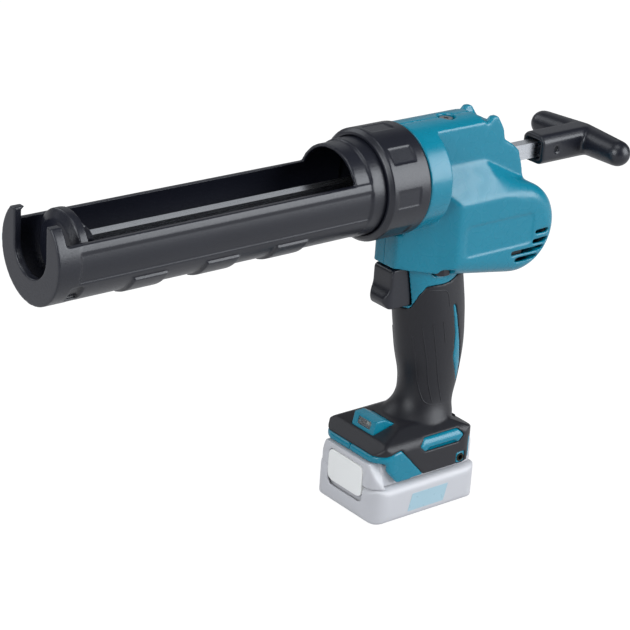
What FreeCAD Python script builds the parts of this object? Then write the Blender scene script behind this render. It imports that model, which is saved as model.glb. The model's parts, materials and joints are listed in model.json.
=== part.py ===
import FreeCAD, Part
import math
import os
import re

import Sketcher
from FreeCAD import Placement, Rotation, Vector

# Cordless caulking tool, in millimetres.
# The origin is the centre of the battery's underside. +Z is up, the barrel points to -X,
# and the tool is split into a left (-Y) and a right (+Y) half by the plane Y = 0.

doc = FreeCAD.newDocument("CaulkingTool")

# Driving dimensions. Values that end in x, y or z are places along that axis.
SIZES = {
    # Clearances and overruns
    "slide_gap": 0.3,
    "run_gap": 0.05,
    "overrun": 5.0,
    # Cartridge holder
    "axis_z": 216.0,
    "holder_front_x": -272.0,
    "holder_radius": 28.0,
    "holder_wall": 2.3,
    "rim_rise": 11.0,
    "rim_band_height": 4.5,
    "rim_band_step": 0.7,
    "fork_thickness": 4.5,
    "arm_length": 6.5,
    "arm_rise": 20.5,
    "front_band_length": 14.0,
    "front_band_step": 0.9,
    "nozzle_half": 15.8,
    "nozzle_drop": 13.8,
    "window_length": 8.0,
    "window_height": 9.0,
    "window_drop": 13.0,
    "belly_drop": 11.0,
    "belly_step": 0.8,
    "pad_drop": 16.0,
    "pad_step": 1.5,
    "pad_first_x": -222.0,
    "pad_length": 22.0,
    "pad_pitch": 48.0,
    "pad_count": 3,
    "hood_front_x": -72.0,
    "hood_step_x": -61.0,
    "hood_step": 1.2,
    "flange_x": -46.0,
    "flange_thickness": 4.0,
    "flange_radius": 30.8,
    # Lock ring
    "ring_front_x": -51.4,
    "ring_rear_x": -20.8,
    "ring_radius": 33.9,
    "ring_bore": 31.4,
    "ring_chamfer": 2.4,
    "ring_land_depth": 0.8,
    "ring_land_count": 8,
    "ring_land_width": 11.0,
    "ring_land_length": 17.0,
    "ring_land_inset": 5.5,
    # Nose flange and rod guides
    "nose_wall": 4.0,
    "nose_rear_x": -6.0,
    "nose_web": 6.0,
    "guide_wall": 3.2,
    "front_guide_length": 9.0,
    "rear_guide_length": 8.0,
    "rear_guide_x": 58.0,
    # Push rod, piston and pull handle
    "rod_width": 7.0,
    "rod_height": 10.0,
    "rod_front_x": -248.0,
    "rod_rear_x": 132.0,
    "rod_rack_front_x": -200.0,
    "rod_rack_length": 236.0,
    "piston_radius": 21.5,
    "piston_rim": 5.0,
    "piston_crown": 4.0,
    "piston_hub_radius": 9.0,
    "piston_hub_length": 11.0,
    "piston_rib": 1.8,
    "piston_rib_count": 6,
    "screw_m4_radius": 2.0,
    "screw_m4_head_radius": 4.0,
    "screw_m4_head": 2.6,
    "piston_screw_length": 14.0,
    "hub_front_x": 91.0,
    "hub_half": 9.5,
    "hub_corner": 3.5,
    "hub_mouth": 4.0,
    "pull_x": 134.0,
    "pull_half": 41.5,
    "pull_radius": 9.5,
    "pull_end_radius": 8.2,
    "pull_sweep": 2.0,
    "handle_pin_x": 103.0,
    "handle_pin_radius": 1.6,
    "handle_pin_dimple": 1.2,
    # Housing: collar, tunnel and motor bulge
    "wall": 2.4,
    "collar_front_x": -20.3,
    "collar_rear_x": -3.5,
    "collar_radius": 32.8,
    "tunnel_half": 14.5,
    "tunnel_rear_x": 72.0,
    "tunnel_top_z": 248.6,
    "tunnel_floor_z": 203.0,
    "fin_thickness": 5.0,
    "bulge_half": 29.0,
    "bulge_round": 9.0,
    "motor_x": 62.0,
    "motor_z": 176.0,
    "bulge_rear_radius": 29.0,
    "neck_front_x": -24.5,
    "neck_half": 9.5,
    "facet_x": -1.0,
    "facet_y": 22.5,
    "crease_x": 9.0,
    "shoulder_z": 221.5,
    "side_top_z": 202.0,
    "knee_x": 38.0,
    "knee_side_x": 45.0,
    "bulge_front_floor_z": 161.0,
    "panel_front_x": 14.0,
    "panel_rear_x": 70.0,
    "panel_low_z": 166.5,
    "panel_high_z": 187.0,
    "panel_depth": 0.7,
    "panel_corner": 4.0,
    "vent_height": 2.4,
    "hood_screw_x": 16.0,
    "hood_screw_recess_radius": 5.6,
    "hood_screw_recess": 4.0,
    "hood_screw_length": 16.0,
    # Handle, foot and grip
    "foot_floor_z": 40.5,
    "foot_top_z": 57.5,
    "foot_front_x": -41.0,
    "foot_rear_x": 40.0,
    "foot_half": 29.5,
    "foot_corner": 13.0,
    "foot_edge": 8.0,
    "foot_slope": 7.5,
    "skirt_drop": 14.0,
    "skirt_thickness": 3.6,
    "rail_z": 32.5,
    "rail_height": 2.4,
    "rail_depth": 1.6,
    "handle_top_z": 166.0,
    "handle_x": 18.0,
    "handle_depth": 48.0,
    "handle_width": 38.0,
    "grip_thickness": 2.0,
    "grip_front_z": 131.5,
    "grip_rear_z": 151.5,
    "rim_height": 2.2,
    "bay_half": 20.0,
    "bay_height": 10.0,
    "bay_front_x": -26.0,
    "bay_rear_x": 31.0,
    "hook_slot_x": 10.0,
    "hook_slot_z": 46.5,
    "hook_slot_length": 36.0,
    "hook_slot_height": 8.0,
    "hook_slot_depth": 1.6,
    "hook_pad_x": 26.0,
    "hook_pad_z": 31.0,
    "hook_pad_size": 7.0,
    "insert_radius": 2.6,
    "insert_bore": 1.65,
    "insert_length": 3.0,
    # Lamp
    "lamp_x": -22.5,
    "lamp_length": 18.0,
    "lamp_width": 21.0,
    "lamp_rise": 6.5,
    "lamp_wall": 1.6,
    "lamp_window_width": 12.0,
    "lamp_board_thickness": 1.6,
    # Trigger, lock-off and switch
    "trigger_front_x": -29.0,
    "trigger_rear_x": -8.0,
    "trigger_top_z": 159.5,
    "trigger_low_z": 134.0,
    "trigger_half": 9.0,
    "trigger_hollow": 4.5,
    "trigger_edge": 2.0,
    "trigger_travel": 6.0,
    "plunger_radius": 2.4,
    "switch_front_x": 0.0,
    "switch_length": 22.0,
    "switch_half": 8.0,
    "switch_low_z": 133.0,
    "switch_height": 19.0,
    "spring_wire": 0.5,
    "spring_radius": 4.2,
    "spring_turns": 4,
    "lock_x": 4.5,
    "lock_z": 157.2,
    "lock_length": 10.0,
    "lock_height": 4.6,
    "lock_half": 22.5,
    "lock_tip": 3.5,
    "board_x": 17.0,
    "board_low_z": 92.0,
    "board_length": 32.0,
    "board_half": 11.0,
    "board_thickness": 1.6,
    # Gear train
    "gear_backlash": 0.12,
    "rack_module": 1.25,
    "rack_teeth": 12,
    "pinion_x": 24.0,
    "output_module": 1.0,
    "output_teeth": 36,
    "output_pinion_teeth": 11,
    "output_turn": -25.0,
    "output_y": 5.0,
    "output_width": 4.5,
    "second_module": 0.8,
    "second_teeth": 40,
    "second_pinion_teeth": 10,
    "second_y": -15.0,
    "second_width": 4.0,
    "first_module": 0.7,
    "first_teeth": 44,
    "first_pinion_teeth": 10,
    "first_y": -22.0,
    "first_width": 4.0,
    "pinion_shaft_radius": 4.0,
    "gear_shaft_radius": 2.5,
    "bush_wall": 2.0,
    "plate_thickness": 3.0,
    "left_plate_y": -10.0,
    "right_plate_y": 14.0,
    "cover_y": -26.0,
    "cover_thickness": 2.4,
    "plate_margin": 3.0,
    "pillar_radius": 2.4,
    "post_reach": 10.5,
    "cover_post_reach": 15.0,
    "clutch_radius": 11.0,
    "clutch_disc": 1.6,
    "clutch_cone": 1.2,
    "clutch_nut": 1.4,
    # Motor
    "motor_radius": 14.0,
    "motor_length": 26.0,
    "motor_wall": 1.2,
    "motor_boss_radius": 5.0,
    "motor_boss": 2.6,
    "magnet_thickness": 2.6,
    "rotor_gap": 0.4,
    "rotor_length": 16.0,
    "rotor_slots": 5,
    "motor_shaft_radius": 1.6,
    "commutator_radius": 3.6,
    "commutator_length": 5.0,
    "end_cap_length": 2.4,
    "fan_radius": 12.0,
    "fan_width": 2.2,
    "fan_hub": 4.0,
    "fan_blade": 1.2,
    "fan_blades": 9,
    # Battery
    "battery_length": 86.0,
    "battery_half": 31.0,
    "battery_corner": 12.0,
    "battery_edge": 4.0,
    "battery_shoulder": 5.0,
    "battery_belt_z": 23.5,
    "battery_top_z": 40.0,
    "battery_neck_half": 25.4,
    "battery_wall": 1.8,
    "shoulder_half": 30.0,
    "shoulder_top_half": 21.0,
    "shoulder_rear_x": -34.3,
    "neck_rear_x": 41.0,
    "cell_radius": 9.0,
    "cell_length": 65.0,
    "cell_pitch": 18.6,
    "button_half": 16.5,
    "button_low_z": 15.0,
    "button_high_z": 36.0,
    "button_depth": 3.0,
    "button_travel": 3.0,
    "button_lug_half": 3.0,
    "button_lug_z": 30.0,
    "button_spring_radius": 2.2,
    "button_spring_wire": 0.4,
    "contact_width": 1.0,
    "contact_height": 6.0,
    "contact_length": 12.0,
    "contact_pitch": 8.0,
    "clip_thickness": 0.8,
    "block_length": 26.0,
    "block_x": -10.0,
    "block_height": 5.0,
    # Clamshell screws
    "screw_radius": 1.5,
    "screw_head_radius": 3.0,
    "screw_head": 2.0,
    "screw_length": 15.0,
    "boss_radius": 3.8,
    "screw_seat": 5.0,
    # Leads
    "lead_radius": 0.9,
    "lead_pitch": 4.0,
    "lead_x": 5.6,
}

sheet = doc.addObject("Spreadsheet::Sheet", "Sizes")
for row, (alias, number) in enumerate(SIZES.items(), start=1):
    sheet.set(f"A{row}", alias)
    sheet.set(f"B{row}", str(number))
    sheet.setAlias(f"B{row}", alias)
doc.recompute()


class SheetReader:
    """Gives each size of the sheet as an attribute."""

    def __getattr__(self, alias):
        return sheet.get(alias)


size = SheetReader()
WORD = re.compile(r"[a-z][a-z0-9_]*")
PARTS = {}


def bound(text):
    """Turn a formula in plain size names into one that points at the sheet's cells."""
    return WORD.sub(lambda word: f"Sizes.{word[0]}" if word[0] in SIZES else word[0], str(text))


def value(text):
    """Give the number that a formula in size names stands for now."""
    return float(sheet.evalExpression(bound(text)))


def keep(label, item):
    """Name a finished sub-part, so that it is checked and written."""
    item.Label = label
    PARTS[label] = item
    return item


# Primitives and booleans bound to the sheet

TURNS = {
    "X": Rotation(Vector(0, 1, 0), 90),
    "Y": Rotation(Vector(1, 0, 0), -90),
    "Z": Rotation(),
}


def place(item, at, axis="Z"):
    """Put an object's reference point at three formulas, with its own Z along an axis."""
    item.Placement = Placement(Vector(), TURNS[axis])
    for name, text in zip("xyz", at):
        item.setExpression(f"Placement.Base.{name}", bound(text))
    return item


def box(name, extents, at):
    """Box with its lowest corner at a point."""
    item = doc.addObject("Part::Box", name)
    for prop, text in zip(("Length", "Width", "Height"), extents):
        item.setExpression(prop, bound(text))
    return place(item, at)


def cylinder(name, radius, length, at, axis):
    """Cylinder that runs from a point along an axis."""
    item = doc.addObject("Part::Cylinder", name)
    item.setExpression("Radius", bound(radius))
    item.setExpression("Height", bound(length))
    return place(item, at, axis)


def join(name, *items):
    """Fuse objects into one."""
    item = doc.addObject("Part::MultiFuse", name)
    item.Shapes = list(items)
    return item


def cut(name, base, *tools):
    """Cut tools out of a base."""
    item = doc.addObject("Part::Cut", name)
    item.Base = base
    item.Tool = tools[0] if len(tools) == 1 else join(f"{name}_tools", *tools)
    return item


def overlap(name, *items):
    """Keep what objects have in common."""
    item = doc.addObject("Part::MultiCommon", name)
    item.Shapes = list(items)
    return item


def group(name, *items):
    """Keep separate solids together in one object."""
    item = doc.addObject("Part::Compound", name)
    item.Links = list(items)
    return item


# Bodies made from sketches

def body(label, at=("0", "0", "0")):
    """Empty body whose own origin is at three formulas."""
    return keep(label, place(doc.addObject("PartDesign::Body", label), at))


def datum(owner, role):
    """Origin plane or axis of a body."""
    return next(item for item in owner.Origin.OriginFeatures if item.Role == role)


def sketch(owner, plane, corners):
    """Closed outline of straight runs on an origin plane; corners are pairs of formulas."""
    outline = owner.newObject("Sketcher::SketchObject", f"{owner.Name}_outline")
    outline.AttachmentSupport = [(datum(owner, plane), "")]
    outline.MapMode = "FlatFace"
    points = [Vector(value(across), value(up), 0) for across, up in corners]
    for index, point in enumerate(points):
        outline.addGeometry(Part.LineSegment(point, points[(index + 1) % len(points)]))
    for index, (across, up) in enumerate(corners):
        outline.addConstraint(Sketcher.Constraint("Coincident", index, 2, (index + 1) % len(points), 1))
        point = points[index]
        for kind, text, number in (("DistanceX", across, point.x), ("DistanceY", up, point.y)):
            place_id = outline.addConstraint(Sketcher.Constraint(kind, -1, 1, index, 1, number))
            outline.setExpression(f"Constraints[{place_id}]", bound(text))
    return outline


def disc(owner, plane, radius, across="0", up="0"):
    """Circle on an origin plane; its centre is a pair of formulas."""
    outline = owner.newObject("Sketcher::SketchObject", f"{owner.Name}_circle")
    outline.AttachmentSupport = [(datum(owner, plane), "")]
    outline.MapMode = "FlatFace"
    outline.addGeometry(Part.Circle(Vector(value(across), value(up), 0), Vector(0, 0, 1), value(radius)))
    for kind, text in (("DistanceX", across), ("DistanceY", up)):
        place_id = outline.addConstraint(Sketcher.Constraint(kind, -1, 1, 0, 3, value(text)))
        outline.setExpression(f"Constraints[{place_id}]", bound(text))
    radius_id = outline.addConstraint(Sketcher.Constraint("Radius", 0, value(radius)))
    outline.setExpression(f"Constraints[{radius_id}]", bound(radius))
    return outline


def feature(owner, kind, outline, length, side="One side", flip=False):
    """Pad or Pocket of an outline."""
    item = owner.newObject(f"PartDesign::{kind}", f"{owner.Name}_{kind}")
    item.Profile = outline
    item.SideType = side
    item.Reversed = flip
    item.setExpression("Length", bound(length))
    return item


def spin(owner, outline, axis):
    """Revolve an outline a full turn about one of its sketch axes."""
    item = owner.newObject("PartDesign::Revolution", f"{owner.Name}_turned")
    item.Profile = outline
    item.ReferenceAxis = (outline, [axis])
    item.Angle = 360
    return item


def repeat_round(owner, item, axis, count):
    """Repeat a feature evenly round an origin axis."""
    doc.recompute()
    pattern = owner.newObject("PartDesign::PolarPattern", f"{owner.Name}_round")
    pattern.Originals = [item]
    pattern.Axis = (datum(owner, axis), [""])
    pattern.Angle = 360
    pattern.setExpression("Occurrences", bound(count))
    owner.Tip = pattern
    return pattern


def repeat_along(owner, item, axis, length, count):
    """Repeat a feature evenly along an origin axis."""
    doc.recompute()
    pattern = owner.newObject("PartDesign::LinearPattern", f"{owner.Name}_row")
    pattern.Originals = [item]
    pattern.Direction = (datum(owner, axis), [""])
    pattern.Mode = "Extent"
    pattern.setExpression("Length", bound(length))
    pattern.setExpression("Occurrences", bound(count))
    owner.Tip = pattern
    return pattern


# Free forms

def free_form(label, shape):
    """Sub-part whose shape is worked out from the sheet's sizes."""
    item = doc.addObject("Part::Feature", label)
    item.Shape = shape
    item.Placement = Placement()
    return keep(label, item)


def plan(height):
    """Lift outline corners (x, y) to a height."""
    return lambda point: Vector(point.x, point.y, height)


def side(depth):
    """Lift outline corners (x, z) to a plane Y = depth."""
    return lambda point: Vector(point.x, depth, point.y)


def front(reach):
    """Lift outline corners (y, z) to a plane X = reach."""
    return lambda point: Vector(reach, point.x, point.y)


def rounded(corners, radii, lift):
    """Closed wire of lines through corners, each rounded by its own radius."""
    if not isinstance(radii, (list, tuple)):
        radii = [radii] * len(corners)
    points = [Vector(across, up, 0) for across, up in corners]
    turns = []
    for index, corner in enumerate(points):
        back = (points[index - 1] - corner).normalize()
        onward = (points[(index + 1) % len(points)] - corner).normalize()
        half = back.getAngle(onward) / 2
        setback = radii[index] / math.tan(half)
        bisector = (back + onward).normalize()
        middle = corner + bisector * (radii[index] / math.sin(half) - radii[index])
        turns.append((corner + back * setback, middle, corner + onward * setback))
    edges = []
    for index, (start, middle, end) in enumerate(turns):
        if radii[index]:
            edges.append(Part.Arc(lift(start), lift(middle), lift(end)).toShape())
        following = turns[(index + 1) % len(turns)][0]
        if not following.isEqual(end, size.run_gap / size.overrun):
            edges.append(Part.LineSegment(lift(end), lift(following)).toShape())
    return Part.Wire(edges)


def prism(corners, radii, lift, sweep):
    """Extruded outline with rounded corners."""
    return Part.Face(rounded(corners, radii, lift)).extrude(sweep)


def block(low, high):
    """Plain box between two corners."""
    span = [far - near for near, far in zip(low, high)]
    return Part.makeBox(*span, Vector(*low))


def bar(radius, start, end):
    """Round bar between two points."""
    run = end - start
    return Part.makeCylinder(radius, run.Length, start, run)


def both_sides(shape):
    """A shape on the left and its mirror image on the right."""
    return [shape, shape.mirror(Vector(), Vector(0, 1, 0))]


# Cartridge holder: half tube with a fork plate in front and a closed hood behind

def build_holder():
    length = "flange_x + flange_thickness - holder_front_x"
    at_front = ("holder_front_x", "0", "axis_z")
    width = "3 * holder_radius"
    low_y = "-1.5 * holder_radius"
    tube = cylinder("holder_tube", "holder_radius", length, at_front, "X")
    band = cylinder("holder_band", "holder_radius + front_band_step", "front_band_length", at_front, "X")
    hood = cylinder("holder_hood", "holder_radius + hood_step", "flange_x - hood_step_x",
                    ("hood_step_x", "0", "axis_z"), "X")
    flange = cylinder("holder_flange", "flange_radius", "flange_thickness",
                      ("flange_x", "0", "axis_z"), "X")
    run = "hood_step_x - holder_front_x"
    rim_skin = cylinder("holder_rim_skin", "holder_radius + rim_band_step", run, at_front, "X")
    rim_zone = box("holder_rim_zone", (run, width, "rim_band_height"),
                   ("holder_front_x", low_y, "axis_z + rim_rise - rim_band_height"))
    belly_skin = cylinder("holder_belly_skin", "holder_radius + belly_step", run, at_front, "X")
    belly_zone = box("holder_belly_zone", (run, width, "holder_radius"),
                     ("holder_front_x", low_y, "axis_z - belly_drop - holder_radius"))
    pieces = [tube, band, hood, flange,
              overlap("holder_rims", rim_skin, rim_zone), overlap("holder_belly", belly_skin, belly_zone)]
    for index in range(int(size.pad_count)):
        start = f"pad_first_x + {index} * pad_pitch"
        skin = cylinder(f"holder_pad_skin{index}", "holder_radius + belly_step + pad_step", "pad_length",
                        (start, "0", "axis_z"), "X")
        zone = box(f"holder_pad_zone{index}", ("pad_length", width, "holder_radius"),
                   (start, low_y, "axis_z - pad_drop - holder_radius"))
        pieces.append(overlap(f"holder_pad{index}", skin, zone))
    bore = cylinder("holder_bore", "holder_radius - holder_wall", length + " + overrun",
                    ("holder_front_x + fork_thickness", "0", "axis_z"), "X")
    open_top = box("holder_open_top",
                   ("hood_front_x - holder_front_x - arm_length", width, "2 * holder_radius"),
                   ("holder_front_x + arm_length", low_y, "axis_z + rim_rise"))
    arm_top = box("holder_arm_top", ("arm_length + 2 * overrun", width, "2 * holder_radius"),
                  ("holder_front_x - overrun", low_y, "axis_z + arm_rise"))
    slot_length = "front_band_length + 2 * overrun"
    slot_x = "holder_front_x - overrun"
    slot_round = cylinder("nozzle_round", "nozzle_half", slot_length,
                          (slot_x, "0", "axis_z - nozzle_drop + nozzle_half"), "X")
    slot_top = box("nozzle_top", (slot_length, "2 * nozzle_half", "2 * holder_radius"),
                   (slot_x, "-nozzle_half", "axis_z - nozzle_drop + nozzle_half"))
    window_x = "holder_front_x + front_band_length - window_length / 2"
    window = box("holder_window_zone", ("window_length", width, "window_height"),
                 (window_x, low_y, "axis_z - window_drop - window_height"))
    floor = cylinder("holder_window_floor", "holder_radius - holder_wall / 2", "window_length",
                     (window_x, "0", "axis_z"), "X")
    recess = cut("holder_windows", window, floor)
    whole = join("holder_whole", *pieces)
    keep("cartridge_holder", cut("holder_cut", whole, bore, open_top, arm_top, slot_round, slot_top, recess))


# Lock ring: turned sleeve with a front lip and rows of shallow finger lands

def build_lock_ring():
    ring = body("lock_ring", ("0", "0", "axis_z"))
    lip = "holder_radius + hood_step + slide_gap"
    spin(ring, sketch(ring, "XZ_Plane", [
        ("ring_front_x", lip),
        ("ring_front_x", "ring_radius - ring_chamfer"),
        ("ring_front_x + ring_chamfer", "ring_radius"),
        ("ring_rear_x - ring_chamfer / 2", "ring_radius"),
        ("ring_rear_x", "ring_radius - ring_chamfer / 2"),
        ("ring_rear_x", "ring_bore"),
        ("flange_x - slide_gap", "ring_bore"),
        ("flange_x - slide_gap", lip)]), "H_Axis")
    inner = "ring_radius - ring_land_depth"
    outer = "ring_radius + overrun"
    start = "ring_front_x + ring_land_inset"
    lands = feature(ring, "Pocket", sketch(ring, "XZ_Plane", [
        (start, inner), (start + " + ring_land_length", inner),
        (start + " + ring_land_length", outer), (start, outer)]), "ring_land_width", "Symmetric")
    repeat_round(ring, lands, "X_Axis", "ring_land_count")


# Nose flange that the lock ring screws on, with the front rod guide in its web

def build_nose():
    nose = body("nose_flange", ("0", "0", "axis_z"))
    face = "flange_x + flange_thickness + slide_gap"
    outer = "ring_bore - slide_gap"
    inner = outer + " - nose_wall"
    web = "nose_rear_x - nose_web"
    spin(nose, sketch(nose, "XZ_Plane", [
        (face, inner), (face, outer), ("nose_rear_x", outer), ("nose_rear_x", "0"), (web, "0"),
        (web, inner)]), "H_Axis")
    half_width = "rod_width / 2 + guide_wall"
    half_height = "rod_height / 2 + guide_wall"
    hole = feature(nose, "Pocket", rectangle(nose, "YZ_Plane", half_width, half_height),
                   "2 * ring_radius", "Symmetric")
    nose.Tip = hole
    rod_guide("front_rod_guide", "nose_rear_x - front_guide_length", "front_guide_length")
    rod_guide("rear_rod_guide", "rear_guide_x", "rear_guide_length")


def rectangle(owner, plane, half_across, half_up):
    """Rectangle centred on the body's origin."""
    return sketch(owner, plane, [(f"-({half_across})", f"-({half_up})"), (half_across, f"-({half_up})"),
                                 (half_across, half_up), (f"-({half_across})", half_up)])


def rod_guide(label, start, length):
    """Square bush round the push rod."""
    guide = body(label, (start, "0", "axis_z"))
    feature(guide, "Pad", rectangle(guide, "YZ_Plane", "rod_width / 2 + guide_wall",
                                    "rod_height / 2 + guide_wall"), length)
    hole = feature(guide, "Pocket", rectangle(guide, "YZ_Plane", "rod_width / 2 + slide_gap",
                                              "rod_height / 2 + slide_gap"), "2 * ring_radius", "Symmetric")
    guide.Tip = hole


# Push rod: square bar with rack teeth underneath, its piston and its pull handle

RACK_ADDENDUM_SHARE = 0.8
RACK_DEDENDUM_SHARE = 1.05
CROWN_SHARE = 0.75
PRESSURE_ANGLE = 25.0


def build_rod():
    bar_body = body("push_rod", ("0", "0", "axis_z"))
    feature(bar_body, "Pad", sketch(bar_body, "XZ_Plane", [
        ("rod_front_x", "-rod_height / 2"), ("rod_rear_x", "-rod_height / 2"),
        ("rod_rear_x", "rod_height / 2"), ("rod_front_x", "rod_height / 2")]), "rod_width", "Symmetric")
    slope = math.tan(math.radians(PRESSURE_ANGLE))
    gap_half = "(pi * rack_module / 4 + gear_backlash / 2)"
    pitch_z = f"(-rod_height / 2 + {RACK_ADDENDUM_SHARE} * rack_module)"
    root_z = f"({pitch_z} + {RACK_DEDENDUM_SHARE} * rack_module)"
    mouth_half = f"({gap_half} + {slope} * {RACK_ADDENDUM_SHARE} * rack_module)"
    root_half = f"({gap_half} - {slope} * {RACK_DEDENDUM_SHARE} * rack_module)"
    first = "(pinion_x - floor((pinion_x - rod_rack_front_x) / (pi * rack_module)) * pi * rack_module)"
    gap = feature(bar_body, "Pocket", sketch(bar_body, "XZ_Plane", [
        (f"{first} - {mouth_half}", "-rod_height / 2"), (f"{first} + {mouth_half}", "-rod_height / 2"),
        (f"{first} + {root_half}", root_z), (f"{first} - {root_half}", root_z)]),
        "2 * rod_width", "Symmetric")
    count = "(floor(rod_rack_length / (pi * rack_module)) + 1)"
    repeat_along(bar_body, gap, "X_Axis", f"(({count}) - 1) * pi * rack_module", count)
    groove = bar_body.newObject("PartDesign::Groove", "push_rod_tapped")
    tapped = sketch(bar_body, "XZ_Plane", [
        ("rod_front_x - overrun", "0"), ("rod_front_x + piston_screw_length", "0"),
        ("rod_front_x + piston_screw_length", "screw_m4_radius + run_gap"),
        ("rod_front_x - overrun", "screw_m4_radius + run_gap")])
    groove.Profile = tapped
    groove.ReferenceAxis = (tapped, ["H_Axis"])
    groove.Angle = 360
    cross_hole = feature(bar_body, "Pocket", disc(bar_body, "XZ_Plane", "handle_pin_radius + run_gap",
                                                  "handle_pin_x"), "2 * rod_width", "Symmetric")
    bar_body.Tip = cross_hole


def build_piston():
    piston = body("piston", ("rod_front_x", "0", "axis_z"))
    face = "-(piston_rim + piston_crown)"
    seat = f"{face} + screw_m4_head"
    hole = "screw_m4_radius + run_gap"
    spin(piston, sketch(piston, "XZ_Plane", [
        ("0", hole), ("0", "piston_radius"), ("-piston_rim", "piston_radius"),
        (f"-piston_rim - {CROWN_SHARE} * piston_crown", f"{CROWN_SHARE} * piston_radius"),
        (face, "piston_hub_radius"), (face, "screw_m4_head_radius + slide_gap"),
        (seat, "screw_m4_head_radius + slide_gap"), (seat, hole)]), "H_Axis")
    feature(piston, "Pad", disc(piston, "YZ_Plane", "piston_hub_radius"), "piston_hub_length")
    rib = feature(piston, "Pad", sketch(piston, "XZ_Plane", [
        ("0", "0"), ("piston_hub_length", "0"), ("piston_hub_length", "piston_hub_radius"),
        ("0", "piston_radius - piston_rib")]), "piston_rib", "Symmetric")
    repeat_round(piston, rib, "X_Axis", "piston_rib_count")
    socket = feature(piston, "Pocket", rectangle(piston, "YZ_Plane", "rod_width / 2 + run_gap",
                                                 "rod_height / 2 + run_gap"), "2 * piston_hub_length",
                     flip=True)
    piston.Tip = socket
    head_x = "rod_front_x - piston_rim - piston_crown"
    head = cylinder("piston_screw_head", "screw_m4_head_radius", "screw_m4_head",
                    (head_x, "0", "axis_z"), "X")
    shank = cylinder("piston_screw_shank", "screw_m4_radius",
                     "piston_rim + piston_crown + piston_screw_length - slide_gap",
                     (head_x, "0", "axis_z"), "X")
    drive = box("piston_screw_drive", ("screw_m4_head / 2", "2 * screw_m4_head_radius", "screw_m4_head / 3"),
                (head_x, "-screw_m4_head_radius", "axis_z - screw_m4_head / 6"))
    keep("piston_screw", cut("piston_screw_whole", join("piston_screw_blank", head, shank), drive))


def build_pull_handle():
    axis = size.axis_z
    half = size.hub_half
    edge = size.hub_corner
    section = [(-half + edge, -half), (half - edge, -half), (half, -half + edge), (half, half - edge),
               (half - edge, half), (-half + edge, half), (-half, half - edge), (-half, -half + edge)]
    section = [(across, axis + up) for across, up in section]
    hub = prism(section, edge / 2, front(size.hub_front_x), Vector(size.pull_x - size.hub_front_x, 0, 0))
    centre = Vector(size.pull_x, 0, axis)
    pieces = [hub, Part.makeSphere(size.pull_radius, centre)]
    for sign in (-1, 1):
        tip = Vector(size.pull_x - size.pull_sweep, sign * (size.pull_half - size.pull_end_radius), axis)
        run = tip - centre
        pieces.append(Part.makeCone(size.pull_radius, size.pull_end_radius, run.Length, centre, run))
        pieces.append(Part.makeSphere(size.pull_end_radius, tip))
    whole = pieces[0].fuse(pieces[1:])
    wide = size.rod_width / 2 + size.run_gap
    tall = size.rod_height / 2 + size.run_gap
    start = size.hub_front_x - size.overrun
    socket = block((start, -wide, axis - tall), (size.rod_rear_x + size.run_gap, wide, axis + tall))
    lip = half - edge
    mouth = block((start, -lip, axis - lip), (size.hub_front_x + size.hub_mouth, lip, axis + lip))
    across = Vector(0, half + size.overrun, 0)
    pin_at = Vector(size.handle_pin_x, 0, axis)
    hole = bar(size.handle_pin_radius + size.run_gap, pin_at - across, pin_at + across)
    free_form("pull_handle", whole.cut([socket, mouth, hole]).removeSplitter())
    keep("handle_pin", cylinder("handle_pin_bar", "handle_pin_radius", "2 * (hub_half - handle_pin_dimple)",
                                ("handle_pin_x", "handle_pin_dimple - hub_half", "axis_z"), "Y"))


# Gear train: all shafts lie across the tool, in line with Y

def flank_turn(radius, pitch_radius, half_tooth):
    """Half angle of a tooth at a radius on its involute flank."""
    base = pitch_radius * math.cos(math.radians(PRESSURE_ANGLE))
    slant = math.acos(min(1.0, base / radius))
    involute = math.tan(slant) - slant
    pitch_slant = math.radians(PRESSURE_ANGLE)
    return half_tooth + math.tan(pitch_slant) - pitch_slant - involute


def gear(teeth, module, centre, phase, start_y, width):
    """Spur gear across the tool; phase is the angle of one tooth's middle, from X towards Z."""
    teeth = int(teeth)
    pitch_radius = module * teeth / 2
    tip = pitch_radius + RACK_ADDENDUM_SHARE * module
    root = pitch_radius - RACK_DEDENDUM_SHARE * module
    base = max(root, pitch_radius * math.cos(math.radians(PRESSURE_ANGLE)))
    half_tooth = (math.pi * module - size.gear_backlash) / (4 * pitch_radius)
    half_tooth -= size.gear_backlash / (4 * pitch_radius)
    radii = [base, (base + pitch_radius) / 2, pitch_radius, (pitch_radius + tip) / 2, tip]
    flank = [(radius, flank_turn(radius, pitch_radius, half_tooth)) for radius in radii]
    flank.insert(0, (root, flank[0][1]))
    points = []
    for index in range(teeth):
        middle = phase + 2 * math.pi * index / teeth
        turns = [(radius, -turn) for radius, turn in flank]
        turns += [(radius, turn) for radius, turn in flank[::-1]]
        for radius, turn in turns:
            points.append(Vector(centre[0] + radius * math.cos(middle + turn), start_y,
                                 centre[1] + radius * math.sin(middle + turn)))
    outline = [point for index, point in enumerate(points)
               if not point.isEqual(points[index - 1], size.run_gap / size.overrun)]
    return Part.Face(Part.makePolygon(outline + outline[:1])).extrude(Vector(0, width, 0))


def mesh_phase(phase, teeth, heading, other_teeth):
    """Phase of a gear that meshes with one at a heading (both angles from X towards Z)."""
    offset = (phase - heading) * teeth / (2 * math.pi)
    return heading + math.pi + (0.5 - offset) * 2 * math.pi / other_teeth


def heading_of(near, far):
    """Angle of the line between two shaft centres."""
    return math.atan2(far[1] - near[1], far[0] - near[0])


def polar(centre, radius, degrees):
    """Point at a radius and an angle from a centre."""
    turn = math.radians(degrees)
    return (centre[0] + radius * math.cos(turn), centre[1] + radius * math.sin(turn))


def spacing(module, teeth, other_teeth):
    """Distance between the centres of two meshing gears."""
    return module * (teeth + other_teeth) / 2


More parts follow.
